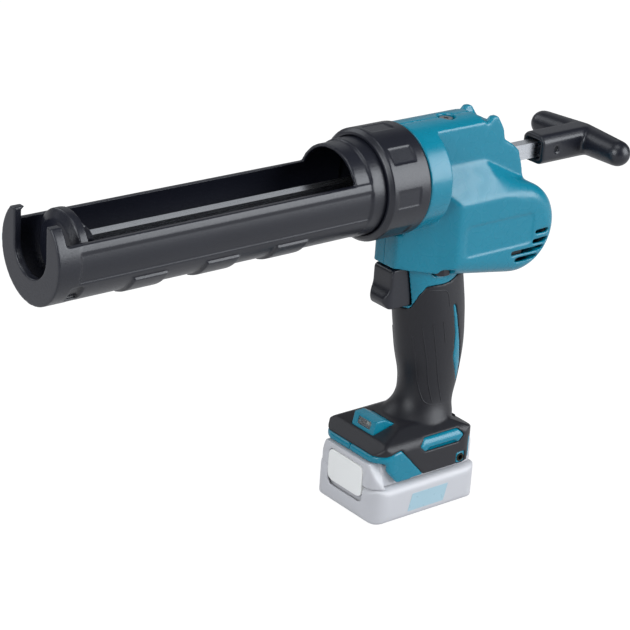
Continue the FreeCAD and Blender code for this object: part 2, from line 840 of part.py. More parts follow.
def shaft_centres():
    """Centres (x, z) of the pinion, second, first and motor shafts."""
    pitch_z = size.axis_z - size.rod_height / 2 + RACK_ADDENDUM_SHARE * size.rack_module
    pinion = (size.pinion_x, pitch_z - size.rack_module * size.rack_teeth / 2)
    second = polar(pinion, spacing(size.output_module, size.output_teeth, size.output_pinion_teeth),
                   size.output_turn)
    motor = (size.motor_x, size.motor_z)
    to_second = spacing(size.second_module, size.second_teeth, size.second_pinion_teeth)
    to_motor = spacing(size.first_module, size.first_teeth, size.first_pinion_teeth)
    span = math.hypot(second[0] - motor[0], second[1] - motor[1])
    along = (to_motor ** 2 - to_second ** 2 + span ** 2) / (2 * span)
    turn = heading_of(motor, second) + math.acos(along / to_motor)
    first = polar(motor, to_motor, math.degrees(turn))
    return pinion, second, first, motor


def shaft(centre, radius, start_y, end_y):
    """Round bar across the tool."""
    return bar(radius, Vector(centre[0], start_y, centre[1]), Vector(centre[0], end_y, centre[1]))


def build_gears():
    pinion, second, first, motor = shaft_centres()
    far_end = size.right_plate_y + size.plate_thickness
    near_end = size.left_plate_y + size.plate_thickness
    turn_up = math.pi / 2
    half = size.rod_width / 2
    drive = gear(size.rack_teeth, size.rack_module, pinion, turn_up, -half, 2 * half)
    axle = shaft(pinion, size.pinion_shaft_radius, size.left_plate_y, far_end)
    free_form("rack_pinion", drive.fuse(axle).removeSplitter())

    output_phase = 0.0
    wheel = gear(size.output_teeth, size.output_module, pinion, output_phase, size.output_y,
                 size.output_width)
    bore = shaft(pinion, size.pinion_shaft_radius + size.run_gap, -far_end, far_end)
    free_form("output_gear", wheel.cut(bore))

    second_phase = mesh_phase(output_phase, size.output_teeth, heading_of(pinion, second),
                              size.output_pinion_teeth)
    small = gear(size.output_pinion_teeth, size.output_module, second, second_phase,
                 size.output_y - size.slide_gap, size.output_width + 2 * size.slide_gap)
    wheel_phase = 0.0
    wheel = gear(size.second_teeth, size.second_module, second, wheel_phase, size.second_y,
                 size.second_width)
    axle = shaft(second, size.gear_shaft_radius, size.cover_y + size.slide_gap, far_end)
    free_form("second_gear", axle.fuse([wheel, small]).removeSplitter())

    first_phase = mesh_phase(wheel_phase, size.second_teeth, heading_of(second, first),
                             size.second_pinion_teeth)
    small = gear(size.second_pinion_teeth, size.second_module, first, first_phase,
                 size.second_y - size.slide_gap, size.second_width + 2 * size.slide_gap)
    wheel = gear(size.first_teeth, size.first_module, first, wheel_phase, size.first_y, size.first_width)
    axle = shaft(first, size.gear_shaft_radius, size.cover_y + size.slide_gap, near_end)
    free_form("first_gear", axle.fuse([wheel, small]).removeSplitter())

    motor_phase = mesh_phase(wheel_phase, size.first_teeth, heading_of(first, motor),
                             size.first_pinion_teeth)
    small = gear(size.first_pinion_teeth, size.first_module, motor, motor_phase,
                 size.first_y - size.slide_gap, size.first_width + 2 * size.slide_gap)
    free_form("motor_pinion", small.cut(shaft(motor, size.motor_shaft_radius, -far_end - size.bulge_half,
                                              far_end)))


def build_clutch():
    pinion = shaft_centres()[0]
    start = size.output_y + size.output_width + size.run_gap
    bore = shaft(pinion, size.pinion_shaft_radius, -size.bulge_half, size.bulge_half)
    end = start + size.clutch_disc
    free_form("clutch_disc", shaft(pinion, size.clutch_radius, start, end).cut(bore))
    top = end + size.clutch_cone
    centre = Vector(pinion[0], end, pinion[1])
    along = Vector(0, 1, 0)
    hub = size.pinion_shaft_radius + size.bush_wall
    outer = Part.makeCone(size.clutch_radius, hub, size.clutch_cone, centre, along)
    hollow_at = centre - along * (size.clutch_cone / 2)
    hollow = Part.makeCone(size.clutch_radius, hub, size.clutch_cone, hollow_at, along)
    free_form("clutch_spring", outer.cut([hollow, bore]))
    corners = [polar(pinion, hub + size.bush_wall, 360 * index / 6) for index in range(6)]
    nut = prism(corners, 0, side(top), along * size.clutch_nut)
    free_form("clutch_nut", nut.cut(bore))


def link_plate(links, radius, start_y, thickness):
    """Plate made of round-ended links between pairs of centres."""
    plates = []
    for near, far in links:
        along = Vector(far[0] - near[0], far[1] - near[1], 0).normalize() * radius
        square = Vector(-along.y, along.x, 0)
        start = Vector(near[0], near[1], 0)
        end = Vector(far[0], far[1], 0)
        start = start - along
        end = end + along
        corners = [start - square, end - square, end + square, start + square]
        plates.append(prism([(corner.x, corner.y) for corner in corners], radius, side(start_y),
                            Vector(0, thickness, 0)))
    return plates[0].fuse(plates[1:]).removeSplitter() if len(plates) > 1 else plates[0]


POST_TURNS = (40.0, -115.0)
COVER_POST_TURNS = (80.0, -105.0)


def build_gear_frame():
    pinion, second, first, motor = shaft_centres()
    posts = [polar(second, size.post_reach, turn) for turn in POST_TURNS]
    cover_posts = [polar(motor, size.cover_post_reach, turn) for turn in COVER_POST_TURNS]
    big = size.pinion_shaft_radius + size.bush_wall
    small = size.gear_shaft_radius + size.bush_wall
    edge = big + size.plate_margin
    left_y = size.left_plate_y
    right_y = size.right_plate_y
    thick = size.plate_thickness
    cover_end = size.cover_y + size.cover_thickness
    far_end = right_y + thick

    def drill(plate, centres, radius):
        """Cut round holes across a plate."""
        return plate.cut([shaft(centre, radius, -size.bulge_half, size.bulge_half) for centre in centres])

    links = [(pinion, second), (second, first), (first, motor)]
    links += [(second, post) for post in posts] + [(motor, post) for post in cover_posts]
    left = drill(link_plate(links, edge, left_y, thick), [pinion], big)
    left = drill(left, [second, first], small)
    left = drill(left, [motor], size.motor_boss_radius + size.run_gap)
    room = bulge_form(size.wall + size.slide_gap)
    free_form("gear_plate_left", left.common(room).removeSplitter())

    links = [(pinion, second)] + [(second, post) for post in posts]
    right = drill(link_plate(links, edge, right_y, thick), [pinion], big)
    right = drill(right, [second], small)
    right = right.cut(shaft(motor, size.motor_radius + size.slide_gap, -size.bulge_half, size.bulge_half))
    free_form("gear_plate_right", right.common(room).removeSplitter())

    links = [(second, first), (first, motor)] + [(motor, post) for post in cover_posts]
    cover = link_plate(links, small + size.plate_margin / 2, size.cover_y, size.cover_thickness)
    cover = drill(cover, [second, first], small)
    free_form("gear_cover", cover.common(room).removeSplitter())

    pillars = [shaft(post, size.pillar_radius, left_y + thick, right_y) for post in posts]
    pillars += [shaft(post, size.pillar_radius, cover_end, left_y) for post in cover_posts]
    free_form("gear_pillars", Part.Compound(pillars))

    bushes = []
    places = [(pinion, size.pinion_shaft_radius, left_y, left_y + thick),
              (pinion, size.pinion_shaft_radius, right_y, far_end),
              (second, size.gear_shaft_radius, left_y, left_y + thick),
              (second, size.gear_shaft_radius, right_y, far_end),
              (second, size.gear_shaft_radius, size.cover_y, cover_end),
              (first, size.gear_shaft_radius, left_y, left_y + thick),
              (first, size.gear_shaft_radius, size.cover_y, cover_end)]
    for centre, radius, start, end in places:
        sleeve = shaft(centre, radius + size.bush_wall, start, end)
        bushes.append(sleeve.cut(shaft(centre, radius + size.run_gap, start - size.overrun,
                                       end + size.overrun)))
    free_form("shaft_bushes", Part.Compound(bushes))


# Motor: lies across the tool behind the gear frame

def build_motor():
    face = ("motor_x", "left_plate_y + plate_thickness", "motor_z")
    can = body("motor_can", face)
    bore = "motor_shaft_radius + run_gap"
    inner = "motor_radius - motor_wall"
    spin(can, sketch(can, "XY_Plane", [
        (bore, "-motor_boss"), ("motor_boss_radius", "-motor_boss"), ("motor_boss_radius", "0"),
        ("motor_radius", "0"), ("motor_radius", "motor_length"), (inner, "motor_length"),
        (inner, "motor_wall"), (bore, "motor_wall")]), "V_Axis")
    magnet_at = ("motor_x", "left_plate_y + plate_thickness + motor_wall", "motor_z")
    shell = cylinder("magnet_outer", inner, "rotor_length", magnet_at, "Y")
    hollow = cylinder("magnet_inner", f"{inner} - magnet_thickness", "rotor_length", magnet_at, "Y")
    split = box("magnet_split", ("2 * motor_radius", "rotor_length", "motor_radius"),
                ("motor_x - motor_radius", "left_plate_y + plate_thickness + motor_wall",
                 "motor_z - motor_radius / 2"))
    keep("motor_magnets", cut("magnet_pair", shell, hollow, split))
    cap_y = "left_plate_y + plate_thickness + motor_length"
    cap = cylinder("end_cap_disc", "motor_radius", "end_cap_length", ("motor_x", cap_y, "motor_z"), "Y")
    hole = cylinder("end_cap_hole", bore, "end_cap_length", ("motor_x", cap_y, "motor_z"), "Y")
    keep("motor_end_cap", cut("end_cap", cap, hole))
    rotor_y = "left_plate_y + plate_thickness + motor_wall + 2 * slide_gap"
    core = body("rotor_core", ("motor_x", rotor_y, "motor_z"))
    rotor_radius = f"({inner} - magnet_thickness - rotor_gap)"
    length = "rotor_length - 4 * slide_gap"
    feature(core, "Pad", disc(core, "XZ_Plane", rotor_radius), length, flip=True)
    slot_half = "motor_shaft_radius / 2"
    slot = feature(core, "Pocket", sketch(core, "XZ_Plane", [
        (f"-{slot_half}", f"{rotor_radius} / 2"), (slot_half, f"{rotor_radius} / 2"),
        (slot_half, f"{rotor_radius} + overrun"), (f"-{slot_half}", f"{rotor_radius} + overrun")]),
        "2 * rotor_length", "Symmetric")
    repeat_round(core, slot, "Y_Axis", "rotor_slots")
    bored = feature(core, "Pocket", disc(core, "XZ_Plane", "motor_shaft_radius"), "2 * rotor_length",
                    "Symmetric")
    core.Tip = bored
    comm_y = f"{rotor_y} + rotor_length"
    barrel = cylinder("commutator_barrel", "commutator_radius", "commutator_length",
                      ("motor_x", comm_y, "motor_z"), "Y")
    hole = cylinder("commutator_hole", "motor_shaft_radius", "commutator_length",
                    ("motor_x", comm_y, "motor_z"), "Y")
    keep("commutator", cut("commutator_ring", barrel, hole))
    tail = f"{cap_y} + end_cap_length + slide_gap + fan_width"
    start = "first_y - 2 * slide_gap"
    keep("motor_shaft", cylinder("motor_shaft_bar", "motor_shaft_radius", f"{tail} - ({start})",
                                 ("motor_x", start, "motor_z"), "Y"))
    fan = body("motor_fan", ("motor_x", f"{cap_y} + end_cap_length + slide_gap", "motor_z"))
    feature(fan, "Pad", disc(fan, "XZ_Plane", "fan_hub"), "fan_width", flip=True)
    blade = feature(fan, "Pad", sketch(fan, "XZ_Plane", [
        ("-fan_blade / 2", "0"), ("fan_blade / 2", "0"), ("fan_blade", "fan_radius"), ("0", "fan_radius")]),
        "fan_width", flip=True)
    repeat_round(fan, blade, "Y_Axis", "fan_blades")
    bored = feature(fan, "Pocket", disc(fan, "XZ_Plane", "motor_shaft_radius"), "2 * motor_length",
                    "Symmetric")
    fan.Tip = bored


# Housing forms: collar, rod tunnel, motor bulge, handle and foot

TUNNEL_SHARES = ((0, 0), (0, 1), (0.51, 1), (0.54, 0.9), (0.66, 0.88), (0.73, 0.8), (0.75, 0.64),
                 (0.846, 0.54), (0.92, 0.443), (1, 0))
FIN_SHARES = ((0.52, 0.6), (0.53, 0.87), (0.595, 0.985), (0.655, 0.985), (0.722, 0.816), (0.75, 0.6))
TUNNEL_HOLLOW_SHARES = ((-0.05, -0.1), (-0.05, 0.86), (0.5, 0.86), (0.66, 0.76), (0.69, 0.6),
                        (0.78, 0.48), (0.8, 0.38), (0.8, -0.1))
BULGE_TURNS = (0.0, 30.0, 60.0, 90.0)
TOP_INSET_SHARE = 1.4
# Height, forward offset, depth and width of the handle's ellipses, from the foot up
HANDLE_SHARES = ((0, -0.285, 1.33, 1.34), (0.04, -0.155, 1.08, 1.12), (0.08, -0.08, 0.92, 0.97),
                 (0.13, -0.025, 0.84, 0.865), (0.2, 0.02, 0.835, 0.845), (0.29, 0.03, 0.88, 0.88),
                 (0.385, 0.008, 0.955, 0.955), (0.48, -0.012, 1, 0.995), (0.575, -0.04, 1.025, 1.012),
                 (0.67, -0.071, 1.04, 1.02), (0.765, -0.112, 1.05, 1.015), (0.86, -0.156, 1.06, 1),
                 (0.93, -0.192, 1.07, 0.977), (1, -0.229, 1.08, 0.95))
FOOT_SIDE_SHARES = ((0, 0), (0, 0.25), (0.1, 0.7), (0.32, 0.96), (0.74, 0.96), (1, 0.42), (1, 0))
FOOT_FRONT_SHARES = ((-1, 0), (-1, 0.55), (-0.58, 0.96), (0.58, 0.96), (1, 0.55), (1, 0))
SKIRT_SHARES = ((0.09, 0.2), (0.095, -0.35), (0.2, -1.04), (0.36, -0.98), (0.91, -0.98), (0.975, -0.75),
                (0.975, 0.2))
GRIP_LOW_SHARES = ((0.09, 0.15), (0.22, 0.3), (0.46, -0.95), (0.46, -1.5), (1.1, -1.5))
GRIP_TOP_SHARES = ((0.083, 1), (-0.083, 0.855), (-0.417, 0.8), (-0.49, 0.475), (-0.521, 0.2),
                   (-0.542, 0))
STRIP_SHARES = ((0.006, 0.716), (0.069, 0.702), (0.171, 0.543), (0.344, 0.278), (0.32, 0.2),
                (0.112, 0.394), (0.1, 0.538))
VENT_SHARES = ((0.36, 0.75, -0.1), (0.3, 0.76, -0.31), (-0.3, 0.66, -0.48), (-0.16, 0.5, -0.655))
BULGE_SCREW_SHARES = ((0.091, 0.336), (0.939, 0.483), (0.87, 0.134), (0.212, 0.564))
HANDLE_SCREW_SHARES = ((0.2, 0.534), (-0.125, 0.26))
FOOT_SCREW_SHARES = ((0.1, 0.3), (0.945, 0.5))
LEAD_EXIT_SHARE = 0.7
TRIGGER_ROUND_SHARE = 0.7


def spread(shares, low, span):
    """Turn pairs of shares into places: a low corner plus shares of a span."""
    return [(low[0] + across * span[0], low[1] + up * span[1]) for across, up in shares]


def ramp(depth, knots):
    """Value on straight runs between (depth, value) knots."""
    for (near, low), (far, high) in zip(knots, knots[1:]):
        if depth <= far:
            return low + (high - low) * (depth - near) / (far - near)
    return knots[-1][1]


def tangent_point(point, centre, radius, sign):
    """Where a line from a point touches a circle, on its upper (1) or lower (-1) side."""
    distance = math.hypot(centre[0] - point[0], centre[1] - point[1])
    reach = math.sqrt(distance ** 2 - radius ** 2)
    turn = heading_of(point, centre) + sign * math.asin(radius / distance)
    return (point[0] + reach * math.cos(turn), point[1] + reach * math.sin(turn))


def bulge_wire(depth, place_y, inset):
    """Side outline of the motor bulge at a depth from the middle, drawn in by an inset."""
    flat = size.bulge_half - size.bulge_round
    over = max(0.0, depth - flat)
    shrink = size.bulge_round - math.sqrt(size.bulge_round ** 2 - over ** 2) + inset
    centre = (size.motor_x, size.motor_z)
    front_x = inset + ramp(depth, [(0, size.neck_front_x), (size.neck_half, size.neck_front_x),
                                   (size.facet_y, size.facet_x), (size.bulge_half, size.crease_x)])
    top = ramp(depth, [(0, size.shoulder_z), (size.tunnel_half, size.shoulder_z),
                       (size.bulge_half, size.side_top_z)]) - TOP_INSET_SHARE * inset
    knee = ramp(depth, [(0, size.knee_x), (size.tunnel_half, size.knee_x),
                        (size.bulge_half, size.knee_side_x)])
    chin = (size.neck_front_x, size.bulge_front_floor_z)
    heel = tangent_point(chin, centre, size.bulge_rear_radius, -1)
    fall = (heel[1] - chin[1]) / (heel[0] - chin[0])
    low = (front_x, chin[1] + fall * (front_x - chin[0]) + shrink)
    radius = size.bulge_rear_radius - shrink
    back_top = tangent_point((knee, top), centre, radius, 1)
    back_low = tangent_point(low, centre, radius, -1)
    turn = (heading_of(centre, back_top) + heading_of(centre, back_low)) / 2
    rear = polar(centre, radius, math.degrees(turn))
    lift = side(place_y)
    corners = (low, (front_x, top), (knee, top), back_top, rear, back_low)
    places = [lift(Vector(*corner, 0)) for corner in corners]
    edges = [Part.LineSegment(near, far).toShape() for near, far in zip(places[:3], places[1:4])]
    edges.append(Part.Arc(*places[3:6]).toShape())
    edges.append(Part.LineSegment(places[5], places[0]).toShape())
    return Part.Wire(edges)


def bulge_form(inset):
    """Motor bulge with its faceted front, sloping shoulders and rounded rear."""
    flat = size.bulge_half - size.bulge_round
    depths = [0.0, size.neck_half, size.tunnel_half, size.facet_y]
    depths += [flat + size.bulge_round * math.sin(math.radians(turn)) for turn in BULGE_TURNS]
    depths = [depth for depth in sorted(depths) if depth > inset]
    right = [bulge_wire(depth, depth - inset, inset) for depth in depths]
    left = [bulge_wire(depth, inset - depth, inset) for depth in depths]
    return Part.makeLoft(left[::-1] + [bulge_wire(0, 0, inset)] + right, True, True)


def tunnel_form():
    """Rod tunnel with an arched top and two fins at its rear edge."""
    low = (size.collar_rear_x, size.tunnel_floor_z)
    span = (size.tunnel_rear_x - low[0], size.tunnel_top_z - low[1])
    half = size.tunnel_half
    spine = prism(spread(TUNNEL_SHARES, low, span), 0, side(-half), Vector(0, 2 * half, 0))
    arch = Part.makeCylinder(size.collar_radius, span[0], Vector(low[0], 0, size.axis_z), Vector(1, 0, 0))
    fins = both_sides(prism(spread(FIN_SHARES, low, span), 0, side(-half), Vector(0, size.fin_thickness, 0)))
    return spine.common(arch).fuse(fins)


def handle_loft(inset):
    """Handle as a smooth loft through ellipses, drawn in by an inset."""
    base = size.foot_top_z - size.foot_slope
    sections = []
    for height, offset, depth, width in HANDLE_SHARES:
        level = base + height * (size.handle_top_z - base)
        centre = Vector(size.handle_x + offset * size.handle_depth, 0, level)
        along = size.handle_depth * depth / 2 - inset
        across = size.handle_width * width / 2 - inset
        ellipse = Part.Ellipse(centre + Vector(along, 0, 0), centre + Vector(0, across, 0), centre)
        sections.append(Part.Wire(ellipse.toShape()))
    return Part.makeLoft(sections, True, False)


def foot_plan(inset, low_z, high_z):
    """Rounded plan of the foot as an upright prism."""
    front_x = size.foot_front_x + inset
    rear_x = size.foot_rear_x - inset
    half = size.foot_half - inset
    corners = [(front_x, -half), (rear_x, -half), (rear_x, half), (front_x, half)]
    return prism(corners, size.foot_corner - inset, plan(low_z), Vector(0, 0, high_z - low_z))


def foot_form(inset):
    """Foot block with a sloping front and rounded top edges."""
    low = (size.foot_front_x + inset, size.foot_floor_z)
    length = size.foot_rear_x - size.foot_front_x - 2 * inset
    height = size.foot_top_z - size.foot_floor_z - inset
    half = size.foot_half - inset
    edge = size.foot_edge - inset
    block_plan = foot_plan(inset, low[1], low[1] + height + size.overrun)
    profile = prism(spread(FOOT_SIDE_SHARES, low, (length, height)),
                    [0, edge / 2, edge / 2, edge, edge, edge / 2, 0], side(-half), Vector(0, 2 * half, 0))
    face = prism(spread(FOOT_FRONT_SHARES, (0, low[1]), (half, height)), [0, edge, edge, edge, edge, 0],
                 front(low[0]), Vector(length, 0, 0))
    return block_plan.common(profile).common(face)


def skirt_forms(thickness):
    """Side skirts that hang down beside the battery's neck, from their inner face outwards."""
    low = (size.foot_front_x, size.foot_floor_z)
    span = (size.foot_rear_x - low[0], size.skirt_drop)
    inner = size.foot_half - size.skirt_thickness
    plate = prism(spread(SKIRT_SHARES, low, span), 0, side(-inner - thickness), Vector(0, thickness, 0))
    bounds = foot_plan(0, low[1] - 2 * size.skirt_drop, size.foot_top_z)
    return both_sides(plate.common(bounds))


def hook_bar_outline(margin):
    """Six-sided outline of the belt-hook bar on the foot's side."""
    half = size.hook_slot_length / 2 + margin
    tall = size.hook_slot_height / 2 + margin
    nose = half - tall
    shape = ((-half, 0), (-nose, -tall), (nose, -tall), (half, 0), (nose, tall), (-nose, tall))
    return [(size.hook_slot_x + across, size.hook_slot_z + up) for across, up in shape]


def grip_zone():
    """Space that the elastomer covers, less the places where the shell shows through it."""
    length = size.foot_rear_x - size.foot_front_x
    height = size.foot_top_z - size.foot_floor_z
    low = (size.foot_front_x, size.foot_floor_z + size.rim_height)
    corners = [(low[0] - length, low[1])] + spread(GRIP_LOW_SHARES, low, (length, height))
    rise = size.grip_rear_z - size.grip_front_z
    corners += [(corners[-1][0], size.grip_rear_z)]
    corners += spread(GRIP_TOP_SHARES, (size.handle_x, size.grip_front_z), (size.handle_depth, rise))
    corners += [(corners[0][0], size.grip_front_z)]
    reach = 2 * size.foot_half
    zone = prism(corners, 0, side(-reach), Vector(0, 2 * reach, 0))
    base = size.foot_top_z - size.foot_slope
    strip = prism(spread(STRIP_SHARES, (size.handle_x, base), (size.handle_depth, size.handle_top_z - base)),
                  0, side(-reach), Vector(0, 2 * reach, 0))
    bars = both_sides(prism(hook_bar_outline(0), 0, side(-reach), Vector(0, reach - size.bay_half, 0)))
    pad = size.hook_pad_size / 2
    pads = both_sides(block((size.hook_pad_x - pad, -reach, size.hook_pad_z - pad),
                            (size.hook_pad_x + pad, -size.bay_half, size.hook_pad_z + pad)))
    return zone.cut([strip] + bars + pads)


def screw_places():
    """Places (x, z) of the screws that hold the two shells together."""
    rear_x = size.motor_x + size.bulge_rear_radius
    floor_z = size.motor_z - size.bulge_rear_radius
    places = spread(BULGE_SCREW_SHARES, (size.neck_front_x, floor_z),
                    (rear_x - size.neck_front_x, size.shoulder_z - floor_z))
    base = size.foot_top_z - size.foot_slope
    places += spread(HANDLE_SCREW_SHARES, (size.handle_x, base),
                     (size.handle_depth, size.handle_top_z - base))
    places += spread(FOOT_SCREW_SHARES, (size.foot_front_x, size.foot_floor_z),
                     (size.foot_rear_x - size.foot_front_x, size.foot_top_z - size.foot_floor_z))
    return places


def half_of(shape, sign):
    """Part of a shape on the left (-1) or right (1) of the middle plane."""
    reach = size.axis_z + size.tunnel_top_z
    low_y = -reach if sign < 0 else 0
    zone = block((-reach, low_y, -reach), (reach, low_y + reach, reach))
    return shape.common(zone)


def trigger_outline(margin):
    """Side outline of the trigger with its hollow finger face."""
    front_x = size.trigger_front_x - margin
    hollow = front_x + size.trigger_hollow + margin
    tall = size.trigger_top_z - size.trigger_low_z
    edge = size.trigger_edge
    return [(hollow, size.trigger_top_z + margin), (hollow, size.trigger_low_z + tall / 2),
            (front_x, size.trigger_low_z + 3 * edge), (front_x + 2 * edge, size.trigger_low_z - margin),
            (size.trigger_rear_x + margin, size.trigger_low_z - margin),
            (size.trigger_rear_x + margin, size.trigger_top_z + margin)]


def lock_outline(margin):
    """Side outline of the lock-off button: a bar with a pointed front."""
    half = size.lock_length / 2 + margin
    tall = size.lock_height / 2 + margin
    shape = ((-half, 0), (-half + tall, -tall), (half, -tall), (half, tall), (-half + tall, tall))
    return [(size.lock_x + across, size.lock_z + up) for across, up in shape]


def lamp_outline(margin):
    """Side outline of the lamp bezel on the foot's front slope."""
    start = size.lamp_x - size.lamp_length / 2 + margin
    end = size.lamp_x + size.lamp_length / 2 - margin
    top = size.foot_top_z + size.lamp_rise / 2 - margin
    low = size.foot_top_z - size.lamp_rise + margin
    quarter = size.lamp_length / 4
    return [(start, low), (start + quarter / 2, top - margin), (start + 2 * quarter, top),
            (end, size.foot_top_z - size.lamp_wall), (end, low)]


def holding_ribs():
    """Ribs inside the shells that touch the switch, the speed board and the motor can."""
    reach = size.foot_half
    third = size.switch_length / 3
    ribs = both_sides(block((size.switch_front_x + third, -reach, size.switch_low_z),
                            (size.switch_front_x + third + size.wall, -size.switch_half,
                             size.switch_low_z + size.switch_height)))
    middle = size.board_low_z + size.board_length / 2
    ribs += both_sides(block((size.board_x, -reach, middle),
                             (size.board_x + size.wall, -size.board_half, middle + size.wall)))
    start_y = size.left_plate_y + size.plate_thickness + size.wall
    saddle = block((size.motor_x - size.motor_boss_radius, start_y, size.motor_z - size.bulge_rear_radius),
                   (size.motor_x + size.motor_boss_radius, -size.run_gap, size.motor_z))
    saddle = saddle.cut(shaft((size.motor_x, size.motor_z), size.motor_radius, -reach, reach))
    return ribs + both_sides(saddle)


def screw_bosses():
    """Bosses round the screws, and the holes drilled in them."""
    bosses = []
    drills = []
    reach = Vector(0, 2 * size.foot_half, 0)
    for x, z in screw_places():
        seat = Vector(x, size.screw_seat, z)
        bosses.append(bar(size.boss_radius, seat - reach, seat + reach))
        drills.append(bar(size.screw_head_radius + size.slide_gap, seat, seat + reach))
        drills.append(bar(size.screw_radius + size.run_gap, seat - Vector(0, size.screw_length, 0), seat))
    top = Vector(size.hood_screw_x, 0, size.tunnel_top_z)
    seat = top - Vector(0, 0, size.hood_screw_recess)
    tip = seat - Vector(0, 0, size.hood_screw_length)
    bosses.append(bar(size.hood_screw_recess_radius + size.wall, tip, top))
    drills.append(bar(size.hood_screw_recess_radius, seat, top + Vector(0, 0, size.overrun)))
    drills.append(bar(size.screw_m4_radius + size.run_gap, tip, seat))
    return bosses, drills


def shell_hollows():
    """Spaces inside the shells: bulge, rod tunnel, handle and battery bay."""
    low = (size.collar_rear_x, size.tunnel_floor_z)
    span = (size.tunnel_rear_x - low[0], size.tunnel_top_z - low[1])
    half = size.tunnel_half - size.wall
    tunnel = prism(spread(TUNNEL_HOLLOW_SHARES, low, span), 0, side(-half), Vector(0, 2 * half, 0))
    bay = block((size.bay_front_x, -size.bay_half, size.foot_floor_z - size.overrun),
                (size.bay_rear_x, size.bay_half, size.foot_floor_z + size.bay_height))
    return [bulge_form(size.wall), tunnel, handle_loft(size.grip_thickness + size.wall), bay]


def working_rooms():
    """Rooms round the lock ring, the nose, the rear guide, the push rod and the second gear."""
    axis = Vector(1, 0, 0)
    ring = Part.makeCylinder(size.ring_radius + 2 * size.slide_gap, size.handle_depth,
                             Vector(size.collar_front_x - size.handle_depth, 0, size.axis_z), axis)
    nose = Part.makeCylinder(size.ring_bore - size.slide_gap, size.nose_rear_x - size.flange_x,
                             Vector(size.flange_x, 0, size.axis_z), axis)
    wide = size.rod_width / 2 + size.guide_wall
    tall = size.rod_height / 2 + size.guide_wall
    guide = block((size.rear_guide_x, -wide, size.axis_z - tall),
                  (size.rear_guide_x + size.rear_guide_length, wide, size.axis_z + tall))
    wide = size.rod_width / 2 + 2 * size.slide_gap
    tall = size.rod_height / 2 + 2 * size.slide_gap
    rod = block((size.nose_rear_x, -wide, size.axis_z - tall), (size.hub_front_x, wide, size.axis_z + tall))
    room = 2 * size.slide_gap
    second = shaft_centres()[1]
    gear_room = shaft(second, size.second_module * (size.second_teeth / 2 + 1) + room, size.second_y - room,
                      size.second_y + size.second_width + room)
    return [ring, nose, guide, rod, gear_room]


def finger_rooms():
    """Rooms for the trigger and its travel, the lock-off bar and the lamp."""
    half = size.trigger_half + size.slide_gap
    trigger = prism(trigger_outline(size.slide_gap), 0, side(-half), Vector(0, 2 * half, 0))
    pulled = trigger.copy()
    pulled.translate(Vector(size.trigger_travel, 0, 0))
    reach = 2 * size.foot_half
    lock = prism(lock_outline(size.slide_gap), 0, side(-reach), Vector(0, 2 * reach, 0))
    lamp = prism(lamp_outline(0), 0, side(-size.lamp_width / 2), Vector(0, size.lamp_width, 0))
    return [trigger, pulled, lock, lamp]


def surface_cuts():
    """Cuts in both side faces: bare panel, vents, belt-hook slit and insert hole."""
    reach = 2 * size.foot_half
    cuts = [prism([(size.panel_front_x, size.panel_low_z), (size.panel_rear_x, size.panel_low_z),
                   (size.panel_rear_x, size.panel_high_z), (size.panel_front_x, size.panel_high_z)],
                  size.panel_corner, side(-size.bulge_half - size.overrun),
                  Vector(0, size.overrun + size.panel_depth, 0))]
    for start, end, rise in VENT_SHARES:
        low_z = size.motor_z + rise * size.bulge_rear_radius - size.vent_height / 2
        cuts.append(block((size.motor_x + start * size.bulge_rear_radius, -reach, low_z),
                          (size.motor_x + end * size.bulge_rear_radius, size.bulge_round - size.bulge_half,
                           low_z + size.vent_height)))
    third = size.hook_slot_length / 3
    low_z = size.hook_slot_z - size.hook_slot_height / 2
    cuts.append(block((size.hook_slot_x - third, -reach, low_z),
                      (size.hook_slot_x + third, size.hook_slot_depth - size.foot_half,
                       low_z + size.hook_slot_height / 4)))
    cuts.append(bar(size.insert_radius, Vector(size.hook_pad_x, -reach, size.hook_pad_z),
                    Vector(size.hook_pad_x, size.insert_length - size.foot_half, size.hook_pad_z)))
    return [each for shape in cuts for each in both_sides(shape)]


def rail_forms():
    """Rails on the skirts' inner faces that carry the battery."""
    low_z = size.rail_z - size.rail_height / 2
    inner = size.foot_half - size.skirt_thickness
    third = (size.foot_rear_x - size.foot_front_x) / 3
    return both_sides(block((size.foot_front_x + third, -inner, low_z),
                            (size.foot_rear_x - size.foot_corner / 2, size.rail_depth - inner,
                             low_z + size.rail_height)))


def build_housing():
    collar = Part.makeCylinder(size.collar_radius, size.collar_rear_x - size.collar_front_x,
                               Vector(size.collar_front_x, 0, size.axis_z), Vector(1, 0, 0))
    upper = collar.fuse([tunnel_form(), bulge_form(0)])
    lower = handle_loft(0).fuse([foot_form(0)] + skirt_forms(size.skirt_thickness))
    depth = size.grip_thickness
    core = handle_loft(depth).fuse([foot_form(depth)] + skirt_forms(size.skirt_thickness - depth))
    grip = lower.common(grip_zone()).cut([core, upper])
    whole = upper.fuse(lower).cut(grip)
    bosses, drills = screw_bosses()
    bosses = [boss.common(whole) for boss in bosses + holding_ribs()]
    outer_cuts = finger_rooms() + surface_cuts() + drills
    shell = whole.cut(shell_hollows()).fuse(bosses).cut(working_rooms() + outer_cuts).fuse(rail_forms())
    grip = grip.cut(outer_cuts)
    for name, sign in (("left", -1), ("right", 1)):
        free_form(f"{name}_housing", half_of(shell, sign).removeSplitter())
        free_form(f"{name}_grip", half_of(grip, sign).removeSplitter())


# Fasteners

